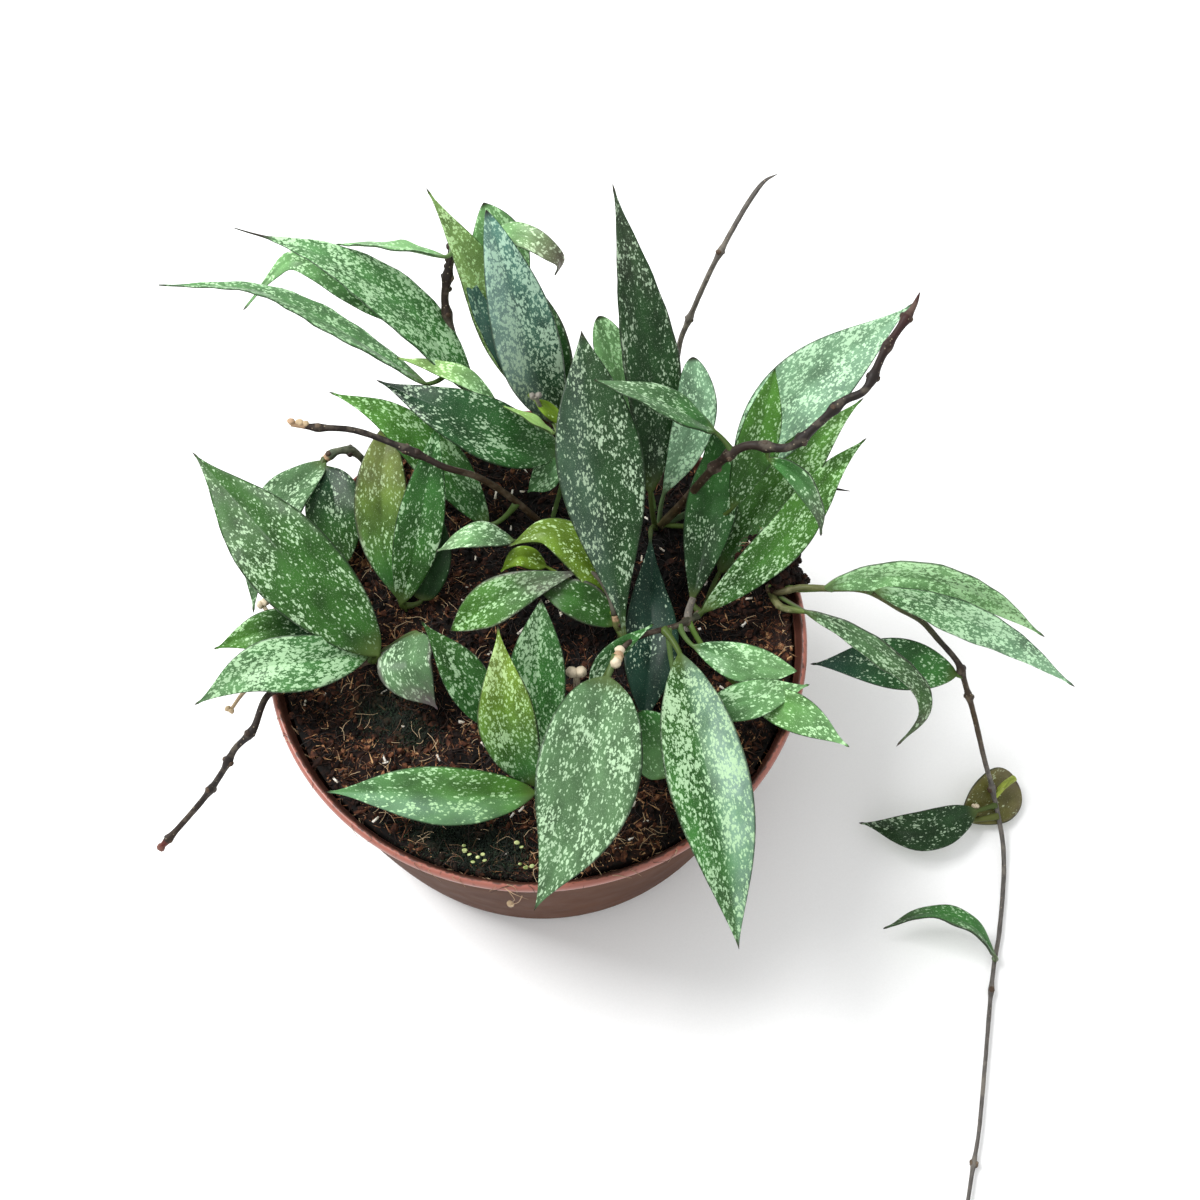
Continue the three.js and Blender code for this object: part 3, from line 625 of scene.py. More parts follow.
def scatter_rule(shape, spread):
    """Strews copies of a small shape over a mesh, leaning and sized by chance."""
    tree, sizes, add = new_rule("scatter_" + shape, {
        "Count per area": ("Float", 1.0e5), "Smallest": ("Float", 0.5 * MM), "Largest": ("Float", 3 * MM),
        "Length": ("Float", 1.0), "Lean": ("Float", 0.5), "Flat": ("Float", 1.0), "Ragged": ("Float", 0.3),
        "Upright": ("Float", 0.0), "Most tint": ("Float", 0.3), "Seed": ("Int", 1),
        "Finish": ("Material", None),
    })
    points = strewn_points(add, sizes, spread)
    chance = add("RandomValue", {"Max": 1.0, "Seed": sizes["Seed"]}, data_type="FLOAT")
    few_large = add("Math", {0: chance, 1: 3.0}, operation="POWER")
    size = add("MapRange", {0: few_large, 3: sizes["Smallest"], 4: sizes["Largest"]})
    long_size = add("Math", {0: size, 1: sizes["Length"]}, operation="MULTIPLY")
    lean_back = add("Math", {0: sizes["Lean"], 1: -1.0}, operation="MULTIPLY")
    tipped = add("Math", {0: sizes["Lean"], 1: sizes["Upright"]}, operation="ADD")
    tipped_back = add("Math", {0: lean_back, 1: sizes["Upright"]}, operation="ADD")
    most = add("CombineXYZ", {0: tipped, 1: sizes["Lean"], 2: math.tau})
    least = add("CombineXYZ", {0: tipped_back, 1: lean_back, 2: 0.0})
    turn = add("RandomValue", {"Min": least, "Max": most}, data_type="FLOAT_VECTOR")
    if shape == "crumb":
        form = add("MeshIcoSphere", {"Radius": 0.5, "Subdivisions": 1})
        thin_size = add("Math", {0: size, 1: sizes["Flat"]}, operation="MULTIPLY")
        scale = add("CombineXYZ", {0: long_size, 1: size, 2: thin_size})
    elif shape == "pellet":
        rod = add("MeshCylinder", {"Vertices": 8, "Radius": 0.5, "Depth": 1.0})
        form = add("Transform", {"Geometry": rod, "Rotation": (0.0, math.pi / 2, 0.0)})
        scale = add("CombineXYZ", {0: long_size, 1: size, 2: size})
    else:
        form = add("MeshCone", {"Vertices": 3, "Radius Bottom": 0.5, "Depth": 1.0})
        scale = add("CombineXYZ", {0: size, 1: size, 2: long_size})
    strewn = add("InstanceOnPoints", {"Points": points, "Instance": form, "Rotation": turn, "Scale": scale})
    tint = add("RandomValue", {"Min": 0.0, "Max": sizes["Most tint"], "Seed": 5}, data_type="FLOAT")
    tinted = add("StoreNamedAttribute",
                 {"Geometry": strewn, "Name": "tint", "Value": tint}, data_type="FLOAT", domain="INSTANCE")
    solid = add("RealizeInstances", {"Geometry": tinted})
    dents = add("TexNoise", {"Scale": 0.5 / (1.0 * MM), "Detail": 1.0})
    reach = add("Math", {0: sizes["Ragged"], 1: sizes["Largest"]}, operation="MULTIPLY")
    finish_rule(add, shaken(add, solid, dents, reach), sizes["Finish"])
    return tree


# %% [markdown]
# Feed pellets are short rods of white, chalky salt. Moss is a mat of dark green points, each a couple
# of millimetres tall. Both are matt.

# %% Chalk and moss
def dusty_finish(name, dark, light, grain, rough):
    """A matt finish whose colour wanders between two tones, grain millimetres apart."""
    material, add = new_material(name)
    place = add("TexCoord").outputs["Object"]
    noise = add("TexNoise", {"Vector": place, "Scale": 0.5 / (grain * MM), "Detail": 3.0})
    tone = add("ValToRGB", {0: noise}, stops=[(0.35, dark), (0.65, light)])
    relief = add("Bump", {"Strength": 0.4, "Distance": 0.1 * MM, "Height": noise})
    finish = add("BsdfPrincipled", {"Base Color": tone, "Roughness": rough, "Normal": relief})
    add("OutputMaterial", {"Surface": finish})
    return material


chalk_finish = dusty_finish("chalky_feed_pellet", "#c9bda8", "#f3efe6", 1.5, 0.75)
moss_finish = dusty_finish("cushion_moss", "#0b1811", "#21371f", 2.0, 0.8)

# %% Strew crumbs, shreds, pellets and moss
def strew(name, shape, spread, finish, angular=False, **sizes):
    """Strews one kind of thing over the peat as a finished piece."""
    rule = scatter_rule(shape, spread)
    piece = joined(name, [run_rule(rule, rough_bed, finish=finish, **sizes)])
    if angular:
        piece.data.shade_flat()
    place_on_root(piece, "peat")


strew("peat_crumbs", "crumb", "inner", peat_finish, True, count_per_area=2.95e5, smallest=0.7 * MM,
      largest=3.6 * MM, length=1.7, lean=1.2, flat=0.6, ragged=0.55, seed=3)
strew("peat_shreds", "shred", "inner", peat_finish, True, count_per_area=6.0e5, smallest=0.25 * MM,
      largest=0.9 * MM, length=7.0, upright=math.pi / 2, lean=0.3, ragged=0.8, most_tint=0.5, seed=12)
strew("feed_pellets", "pellet", "inner", chalk_finish, count_per_area=4.2e3, smallest=0.8 * MM,
      largest=1.3 * MM, length=3.0, lean=0.35, ragged=0.1, seed=8)
strew("moss", "moss", "moss", moss_finish, count_per_area=2.5e6, smallest=0.35 * MM,
      largest=0.7 * MM, length=4.0, lean=0.6, ragged=0.5, seed=4)

# %% [markdown]
# ## Curly coir fibres
# Coir is coconut fibre: tan, wiry and a few tenths of a millimetre thick. Each fibre starts as a gentle
# bend laid flat on the peat. Once all of them are real curves, noise pushes their points about, so that
# no two curl alike, and a three-sided section is swept along them.

# %% The fibre rule
def fibre_rule():
    """Strews short bends over a mesh, curls them by noise and gives them a thickness."""
    tree, sizes, add = new_rule("coir_fibres", {
        "Count per area": ("Float", 5.0e4), "Shortest": ("Float", 2 * MM), "Longest": ("Float", 10 * MM),
        "Thickness": ("Float", 0.12 * MM), "Curl": ("Float", 4 * MM), "Seed": ("Int", 2),
        "Finish": ("Material", None),
    })
    points = strewn_points(add, sizes, "inner")
    lifted = add("SetPosition", {"Geometry": points, "Offset": (0.0, 0.0, 0.5 * MM)})
    bend = add("CurveQuadraticBezier", {"Resolution": 7, "Start": (-0.5, 0.0, 0.0),
                                        "Middle": (0.0, 0.3, 0.08), "End": (0.5, 0.0, 0.0)})
    size = add("RandomValue",
               {"Min": sizes["Shortest"], "Max": sizes["Longest"], "Seed": 6}, data_type="FLOAT")
    turn = add("RandomValue",
               {"Min": (-0.3, -0.35, 0.0), "Max": (0.3, 0.35, math.tau)}, data_type="FLOAT_VECTOR")
    strewn = add("InstanceOnPoints", {"Points": lifted, "Instance": bend, "Rotation": turn, "Scale": size})
    tint = add("RandomValue", {"Min": 0.0, "Max": 1.0, "Seed": 9}, data_type="FLOAT")
    tinted = add("StoreNamedAttribute",
                 {"Geometry": strewn, "Name": "tint", "Value": tint}, data_type="FLOAT", domain="INSTANCE")
    loose = add("RealizeInstances", {"Geometry": tinted})
    swirl = add("TexNoise", {"Scale": 0.5 / (4 * MM), "Detail": 2.0})
    curled = shaken(add, loose, swirl, sizes["Curl"], (0.5, 0.5, 0.42))
    section = add("CurvePrimitiveCircle", {"Resolution": 3, "Radius": sizes["Thickness"]})
    swept = add("CurveToMesh", {"Curve": curled, "Profile Curve": section, "Fill Caps": True})
    finish_rule(add, swept, sizes["Finish"])
    return tree


# %% Coir's finish
COIR_PAINTED_SHADE = (0.3, 0.0)


def coir_fibre():
    """Coconut fibre: dry and matt, from dark red-brown to pale straw, one tone to a fibre."""
    material, add = new_material("coir_fibre")
    place = add("TexCoord").outputs["Object"]
    tint = add("Attribute", attribute_name="tint").outputs["Fac"]
    noise = add("TexNoise", {"Vector": place, "Scale": 0.5 / (3 * MM), "Detail": 2.0})
    # painted shade: fibres in the middle under the leaves are coloured darker
    shaded_tint = darkened_by_painted_shade(add, place, tint, *COIR_PAINTED_SHADE)
    level = add("Math", {0: noise, 1: 0.3, 2: shaded_tint}, operation="MULTIPLY_ADD")
    tone = add("ValToRGB", {0: level}, stops=[
        (0.2, "#120a07"), (0.7, "#2c1a12"), (0.9, "#573a28"), (0.97, "#8b6b4e"), (1.0, "#c4aa86")])
    finish = add("BsdfPrincipled", {"Base Color": tone, "Roughness": 0.6})
    add("OutputMaterial", {"Surface": finish})
    return material


# %% Lay the fibres
coir_finish = coir_fibre()
fibre_mesh = run_rule(fibre_rule(), rough_bed, count_per_area=8.0e4, seed=2, finish=coir_finish)
fibres = joined("coir_fibres", [fibre_mesh])
place_on_root(fibres, "peat")

# %% [markdown]
# ## A curve through chosen points
# Stems and leaf spines are drawn as a few given points. A centripetal Catmull-Rom curve passes
# through every one of them without loops or overshoot, even where the points are close together. It is
# measured by shares of its length, so that 0.5 is always half-way along.

# %% The curve
CURVE_STEPS = 40


class Path:
    """A smooth curve through points, measured by shares of its length from 0 to 1."""

    def __init__(self, chosen):
        p = np.array(chosen, float)
        p = np.vstack([2 * p[0] - p[1], p, 2 * p[-1] - p[-2]])
        gaps = np.linalg.norm(np.diff(p, axis=0), axis=1) ** 0.5
        t = np.linspace(0, 1, CURVE_STEPS + 1)[1:, None]
        close = [p[1][None]]
        for i in range(1, len(p) - 2):
            before, here, after = gaps[i - 1], gaps[i], gaps[i + 1]
            step = p[i + 1] - p[i]
            leave = here * ((p[i] - p[i - 1]) / before - (p[i + 1] - p[i - 1]) / (before + here)) + step
            arrive = step - here * ((p[i + 2] - p[i]) / (here + after) - (p[i + 2] - p[i + 1]) / after)
            close.append(p[i] + leave * t + (3 * step - 2 * leave - arrive) * t**2
                         + (leave + arrive - 2 * step) * t**3)
        self.points = np.vstack(close)
        steps = np.linalg.norm(np.diff(self.points, axis=0), axis=1)
        self.length = float(steps.sum())
        self.shares = np.concatenate([[0], np.cumsum(steps)]) / self.length

    def at(self, share):
        """The points at these shares of the length."""
        return np.stack([np.interp(share, self.shares, self.points[:, k]) for k in range(3)], axis=-1)

    def along(self, share):
        """The directions at these shares of the length."""
        step = 0.5 / self.length
        share = np.asarray(share, float)
        return unit(self.at(np.minimum(share + step, 1)) - self.at(np.maximum(share - step, 0)))


# %% [markdown]
# ## The plant, stem by stem
# This is the plant itself, in millimetres, as one long list: each stem is followed by its leaves. A stem
# has its radius, the colours of its bark from foot to tip, the way in which it ends, and its path from the
# peat up. It swells at its nodes, which are shares of its length. A leaf has its full width, its roll about
# the midrib in degrees away from facing the light, its green at the base and at the tip, how thickly it is
# flecked, and its spine from base to tip. It may blush purple, at the tip or, with a minus sign, at the
# base. It may have a painted sheen, a pale painted reflection, on one side, and leave its stem at a joint
# of its own. Its form says where it is widest, how full its blade is and how fine its tip, and its drip is
# the share taken by a thread-like tip.

# %% The greens and the barks
GREENS = {
    "deep": "#1e391c", "night": "#16301f", "blue": "#143024", "mid": "#31602b", "fresh": "#46752c",
    "lime": "#6f8f29", "olive": "#6a7b33", "mint": "#4b7446", "pale": "#6d9a62", "forest": "#294f1c",
    "ash": "#6c9170", "leafy": "#83a65e", "sage": "#4b6946", "grey": "#4c7366", "moss": "#597620",
    "umber": "#5b5546", "khaki": "#5c5a2e", "dry": "#241a14",
}
BARKS = {
    "dark": "#33261e", "black": "#211a17", "grey": "#6b655c", "ash": "#8b867d", "brown": "#4b3a2c",
    "olive": "#5d6138", "green": "#5f7d35", "sage": "#56624c", "red": "#5c2a24", "cork": "#b59575",
    "straw": "#c9b18d", "umber": "#473722", "slate": "#5d5955", "lime": "#93a23d", "wine": "#40201d",
    "cream": "#dccdb2",
}

# %% A stem and a leaf of the list
Stem = namedtuple("Stem", "name radius bark end path nodes taper leaves")
Leaf = namedtuple("Leaf", "name width roll greens flecks spine blush haze form drip joint")


def stem(name, radius, bark, end, *path, nodes=(), taper=0.25):
    """A stem that waits for its leaves. Its bark is named from foot to tip."""
    return Stem(name, radius, bark.split(), end, path, nodes, taper, [])


def leaf(name, width, roll, greens, flecks, *spine, blush=0, haze=0, form=(0.42, 0.8, 0.65), drip=0,
         joint=None):
    """A leaf. Its greens are named from base to tip, and a single one serves for both."""
    return Leaf(name, width, roll, (greens.split() * 2)[:2], flecks, spine, blush, haze, form, drip, joint)


# %% The stems at the back
REAR = [
    stem("rear_left_stem", 1.15, "olive olive olive grey dark black", "crown", (-8, 95, 90),
         (-11, 96.5, 100), (-16, 98, 120), (-22, 101, 140), (-25, 108, 155), (-26, 113, 164),
         (-24, 118, 172), (-21, 123, 182), nodes=(0.78, 0.9), taper=-0.4),
    leaf("long_left", 19, 60, "mint", 0.8, (-36, 84, 150), (-63, 99, 163), (-95, 116, 172),
         (-135, 125, 170)),
    leaf("broad_left", 25, 34, "mid mint", 0.9, (-18, 86, 140), (-38, 106, 162), (-67, 125, 177),
         (-105, 144, 178), form=(0.42, 0.8, 0.3), drip=0.11),
    leaf("under_broad", 12, -15, "mid pale", 0.7, (-46, 127, 136), (-64, 131, 154), (-78, 138, 161),
         (-86, 141, 161), (-93, 140, 156), (-108, 131, 145), blush=0.2, form=(0.36, 0.8, 1.0)),
    leaf("top_left", 12, 62, "pale", 0.6, (-24, 115, 186), (-40, 119, 188), (-66, 134, 176)),
    leaf("young_left", 8, 10, "pale leafy", 0.75, (-10, 81, 140), (-20, 85, 150), (-34, 89, 155),
         (-46, 92, 157)),
    leaf("rear_blue", 12, 20, "blue grey", 0.45, (15, 86, 112), (4, 95, 128), (-6, 103, 146),
         (-13, 110, 162), (-18, 120, 176), form=(0.5, 0.8, 0.1)),
    stem("rear_stem", 2.2, "green green olive", "cut", (16, 89, 90), (15, 92, 116), (6, 90, 128),
         nodes=(0.5, 0.98)),
    leaf("rear_upright", 20, 5, "leafy", 0.9, (8, 98, 112), (-3, 108, 140), (-12, 118, 172),
         (-28, 125, 212)),
    leaf("silver_upright", 26, 0, "deep grey", 0.95, (14, 81, 122), (7, 90, 144), (2, 102, 168),
         (-3, 112, 189), (-7, 121, 203), haze=-0.5, form=(0.42, 0.8, 0.0)),
    leaf("rear_light", 24, 0, "pale", 0.8, (2, 115, 140), (-3, 130, 165), (-5, 134, 180), (-8, 138, 189),
         form=(0.6, 0.8, 0.0)),
    leaf("drooping", 10, 0, "pale umber", 0.7, (-8, 123, 180), (0, 121, 189), (8, 116, 192), (15, 111, 190),
         (19, 111, 184), (17, 112, 175), blush=0.3, form=(0.35, 0.8, 0.0)),
    leaf("stub_leaf", 6, 0, "lime", 0.2, (6, 76, 145), (11, 73, 142), (17, 68, 136)),
    leaf("crescent", 6, 55, "leafy", 0.5, (12, 64, 139), (1, 70, 144), (-7, 73, 147)),
    leaf("rear_right", 18, 10, "deep mid", 0.5, (13, 87, 112), (14, 101, 130), (10, 116, 148),
         (0, 132, 165), blush=0.8),
    leaf("dark_level", 25, 10, "mid night", 0.7, (15, 70, 118), (-5, 65, 136), (-27, 71, 148),
         (-55, 89, 148)),
    stem("bare_twig", 1.3, "brown grey slate", "point", (56, 70, 90), (62, 92, 112), (67, 110, 132),
         (70, 113, 140), (81, 120, 170), (98, 132, 196), (103, 132, 200), nodes=(0.42, 0.56, 0.767)),
    stem("right_stem", 1.9, "olive umber dark black black wine", "bud", (54, 48, 90), (61, 48, 105),
         (77, 44, 145), (84, 43, 152), (98, 37, 158), (108, 41, 165), (118, 46, 172), (125, 47, 176),
         (134, 60, 182), (146, 74, 188), (149, 79, 190),
         nodes=(0.38, 0.44, 0.53, 0.61, 0.7, 0.8, 0.87, 0.94)),
    leaf("tall_dark", 25, 20, "deep", 0.58, (49, 51, 112), (52, 75, 142), (48, 107, 168), (42, 144, 188),
         blush=0.2, joint=0.05),
    leaf("behind_tall", 17, 0, "ash", 0.85, (55, 53, 108), (63, 60, 126), (68, 69, 143), (67, 80, 160),
         form=(0.6, 0.55, 0.0), joint=0.05),
    leaf("rear_rounded", 15, 0, "pale", 0.8, (46, 77, 118), (40, 91, 140), (33, 103, 160),
         form=(0.62, 0.55, 0.0), joint=0.05),
    leaf("crossing", 18, 45, "mid sage", 0.55, (72, 49, 154), (50, 57, 166), (28, 65, 170), blush=0.1),
    leaf("broad_right", 30, 0, "ash", 0.92, (84, 52, 116), (106, 68, 143), (152, 89, 172), haze=0.2,
         joint=0.12),
    leaf("narrow_right", 17, 10, "forest fresh", 0.66, (80, 38, 116), (84, 44, 126), (90, 53, 141),
         (97, 70, 163), form=(0.5, 0.8, 0.3), joint=0.12),
    leaf("small_drooping", 9, 40, "mid sage", 0.6, (91, 37, 151), (98, 31, 152), (104, 23, 149),
         (108, 16, 142), (109, 12, 134), blush=0.5),
    leaf("dark_hanging", 22, 0, "blue", 0.4, (48, 38, 104), (45, 13, 106), (43, -11, 103), (37, -42, 96),
         form=(0.62, 1.1, 0.0), joint=0.05),
]

# %% The stems on the left
LEFT = [
    stem("long_left_stem", 1.5, "umber umber umber umber dark black black dark", "knobbly", (6, 51, 90),
         (3, 51, 98), (-8, 53, 115), (-19, 54, 128), (-31, 53, 138), (-41, 56, 144), (-63, 63, 152),
         (-78, 63, 156), (-86, 64, 158), nodes=(0.66, 0.69, 0.93)),
    leaf("under_stem", 20, 10, "mid fresh", 0.75, (-17, 48, 102), (-33, 64, 124), (-53, 78, 140),
         (-74, 88, 144)),
    leaf("short_bent", 12, 30, "sage pale", 0.8, (-7, 31, 116), (-21, 31, 122), (-37, 30, 114), blush=0.6,
         joint=0.08),
    leaf("small_pale", 12, 0, "mint", 0.8, (14, 65, 120), (8, 60, 116), (0, 58, 108), joint=0.08),
    stem("small_left_stem", 1.8, "umber dark sage", "cut", (-63, 72, 90), (-64, 79, 102), (-70, 83, 110),
         (-76, 82, 112), (-81, 80, 110), nodes=(0.6, 0.8, 0.95)),
    leaf("outer_left", 20, 10, "sage", 0.75, (-81, 79, 110), (-97, 59, 114), (-108, 36, 108),
         (-111, 18, 98)),
    leaf("keeled", 24, 0, "night forest", 0.7, (-82, 77, 110), (-78, 65, 110), (-77, 53, 106),
         (-74, 38, 97), blush=0.1, form=(0.5, 0.8, 0.1)),
    stem("left_pair_stem", 1.5, "olive brown dark black black dark", "blunt", (-60, 1, 90), (-62, -8, 102),
         (-83, -17, 107), (-103, -21, 104), (-110, -33, 99), (-118, -37, 92), (-124, -42, 84),
         (-134, -48, 72), (-153, -61.3, 58.7), nodes=(0.6, 0.7, 0.8, 0.97)),
    leaf("bright_left", 34, 0, "forest", 0.6, (-61, -11, 110), (-75, 3, 124), (-95, 25, 134),
         (-128, 70, 136), blush=0.1),
    leaf("silver_left", 22, 0, "mid mint", 1.0, (-64, -8, 108), (-86, -15, 116), (-106, -15, 114),
         (-131, -23, 104), blush=0.3),
    leaf("under_bright", 16, 0, "night fresh", 0.7, (-82, 7, 104), (-104, 3, 110), (-124, -1, 106)),
    leaf("folded_purple", 24, 20, "sage", 0.65, (-46, -2, 108), (-50, -18, 112), (-40, -32, 102),
         blush=1.0),
    stem("mid_left_stem", 1.3, "green green", "point", (-52, 18, 86), (-52, 18, 94)),
    leaf("olive", 22, 0, "mid olive", 0.55, (-54, 20, 97), (-58, 41, 108), (-57, 61, 120), (-54, 75, 127),
         (-51, 84, 130), blush=0.6, form=(0.5, 0.8, 0.1)),
    leaf("green_upright", 19, 10, "forest mid", 0.7, (-53, 17, 98), (-47, 29, 110), (-40, 46, 127),
         (-35, 61, 138), (-32, 73, 142), form=(0.42, 0.8, 0.5)),
    leaf("dark_low", 17, 0, "deep", 0.2, (-45, 20, 94), (-40, 32, 106), (-35, 45, 116),
         form=(0.45, 0.45, 0.3)),
]

# %% The stems in the middle and at the front
FRONT = [
    stem("centre_stem", 2, "green olive", "cut", (32, -4, 90), (32, -6, 102), (30, -2, 110), nodes=(0.9,)),
    leaf("tall_centre", 34, 0, "deep", 0.66, (33, -10, 106), (29, 31, 140), (25, 87, 172), blush=0.05,
         haze=-0.12, form=(0.57, 1.15, 0.0)),
    leaf("yellow_green", 17, 0, "moss", 0.55, (30, 4, 108), (19, 19, 124), (6, 26, 129), (-9, 25, 122),
         blush=0.2),
    leaf("tiny_centre", 9, 0, "lime", 0.4, (5, 24, 106), (-5, 26, 112), (-13, 22, 108)),
    leaf("purple_tinged", 18, 0, "sage fresh", 0.75, (20, 14, 119), (-9, 8, 116), (-34, 1, 102), blush=-1.0,
         form=(0.62, 1.0, 0.0)),
    leaf("dark_centre", 16, 0, "forest", 0.45, (30, -4, 106), (17, 4, 113), (-2, 13, 112), blush=0.8),
    stem("front_stem", 1.3, "umber sage dark dark", "pair", (67, 7, 90), (60, -5, 108), (52, -11, 114),
         (42, -15, 118), (33, -21, 123), (28, -27, 125), nodes=(0.45, 0.56)),
    leaf("dark_right", 21, 0, "deep mid", 0.55, (61, 6, 102), (67, 25, 108), (73, 44, 114), (76, 57, 122),
         (74, 66, 131), form=(0.55, 0.7, 0.2)),
    leaf("bright_right", 18, 0, "forest fresh", 0.78, (64, -2, 107), (83, 10, 114), (98, 21, 119),
         (109, 33, 123), (121, 47, 126), (136, 60, 126), form=(0.45, 0.8, 0.5)),
    leaf("lower_right", 24, 0, "forest fresh", 0.75, (74, 20, 98), (94, 42, 112), (107, 51, 126),
         (119, 56, 141), (131, 61, 152), blush=0.2),
    leaf("front_right", 30, 0, "forest mid", 0.9, (52, -25, 118), (54, -65, 126), (58, -101, 122),
         (60, -135, 110), blush=0.2, haze=-0.6, form=(0.46, 0.8, 0.4)),
    leaf("front_centre", 38, 0, "sage", 0.76, (24, -35, 124), (19, -53, 128), (7, -91, 122),
         (-9, -116, 112), form=(0.42, 0.7, 0.65)),
    leaf("low_right", 15, 0, "mint pale", 0.8, (58, -19, 112), (76, -30, 116), (96, -32, 110),
         form=(0.5, 0.8, 0.2)),
    leaf("rim_right", 15, 0, "mint pale", 0.8, (58, -44, 106), (76, -43, 112), (100, -37, 108)),
    leaf("rim_front_right", 15, 0, "fresh pale", 0.8, (76, -36, 104), (94, -49, 108), (112, -61, 102)),
    leaf("narrow_centre", 8, 0, "deep mid", 0.7, (18, -36, 112), (22, -28, 117), (30, -22, 122),
         (43, -15, 125)),
    stem("front_sprout", 1.6, "green green", "cut", (-4, -60, 90), (-4, -60, 99), nodes=(0.9,)),
    leaf("front_upright", 22, 0, "mid lime", 0.85, (-6, -64, 98), (-13, -51, 116), (-14, -39, 134),
         (-14, -24, 150), blush=0.4),
    leaf("front_level", 22, 0, "fresh mint", 0.52, (-6, -68, 100), (-33, -70, 108), (-54, -68, 112),
         (-81, -64, 108), haze=-0.25),
    leaf("behind_front", 22, 0, "mid", 0.95, (0, -54, 96), (-2, -33, 114), (2, -9, 140), blush=0.2,
         form=(0.5, 0.8, 0.2)),
    stem("front_left_sprout", 1.4, "green green", "cut", (-18, -46, 90), (-19, -45, 98), nodes=(0.9,)),
    leaf("dark_upright", 17, 0, "mid forest", 0.75, (-21, -41, 103), (-29, -27, 122), (-42, -13, 138)),
    stem("small_front_sprout", 1.0, "dark dark", "point", (47, -62, 88), (47, -62, 94)),
    leaf("small_front", 23, 0, "pale mid", 0.7, (45, -65, 99), (41, -57, 107), (34, -45, 114),
         form=(0.42, 0.4, 0.2)),
]

# %% The stem that trails over the rim
TRAILING = [
    stem("trailing_stem", 1.35, "olive green olive black umber slate slate slate slate slate slate", "cut",
         (93, 11, 90), (93, 10, 100), (103, 4, 108), (114, 1, 112), (127, -1, 112), (141, -6, 104),
         (150, -9, 98), (157, -15, 92), (165, -22, 84), (169, -27, 74), (174, -33, 60), (181, -46, 38),
         (189, -50, 14), (191, -74, 3.5), (182, -108, 2.5), (177, -121, 2.5), (173, -133, 2.5),
         (163, -166, 2.5), (156, -188, 2.5), (152, -198, 2.5), (144, -219, 2.5),
         nodes=(0.08, 0.33, 0.37, 0.53, 0.76, 0.94), taper=0.45),
    leaf("arching_right", 18, 42, "pale", 1.0, (112, 1, 114), (128, 1, 119), (150, -4, 122),
         (174, -11, 114), (195, -22, 102), blush=0.25),
    leaf("spreading_right", 16, 36, "mint ash", 1.0, (130, -2, 114), (152, -13, 116), (180, -25, 106),
         (205, -40, 93), blush=0.1),
    leaf("sickle", 11, 45, "sage forest", 0.75, (103, -7, 110), (117, -20, 116), (131, -31, 112),
         (143, -39, 102), (145, -46, 92), (134, -55, 84), blush=0.6, joint=0.075),
    leaf("hanging_dark", 21, 0, "mid blue", 0.55, (165, -24, 78), (136, -20, 86), (106, -18, 86),
         blush=0.1),
    leaf("curled_under", 24, 0, "khaki", 0.35, (176, -59, 6), (190, -52, 8), (203, -44, 5), blush=0.5,
         form=(0.6, 0.45, 0.0)),
    leaf("vine_dark", 18, 0, "deep", 0.55, (181, -58, 11), (156, -66, 15), (131, -57, 6), blush=0.1),
    leaf("vine_bright", 12, 62, "mid", 0.6, (176, -120, 9), (167, -109, 17), (151, -102, 17),
         (133, -104, 7), blush=0.6),
]

# %% Every stem with its leaves
STEMS = []
for entry in [*REAR, *LEFT, *FRONT, *TRAILING]:
    if isinstance(entry, Stem):
        STEMS.append(entry)
    else:
        STEMS[-1].leaves.append(entry)
print(len(STEMS), "stems with", sum(len(entry.leaves) for entry in STEMS), "leaves")

# %% [markdown]
# ## The wood of a stem
# A stem is a slim round rod that follows its path, tapers, swells at each node and is covered by thin
# ridged bark. That is a rule along a path, so Geometry Nodes make it. The points of the path carry the
# thickness and the bark's colour. The rule sweeps a circle along them and then pushes the surface out and
# in by a noise that is stretched along the stem, which draws the ridges. How far a point lies round and
# along the stem is stored too, so that the bark's colour can follow the same grain.

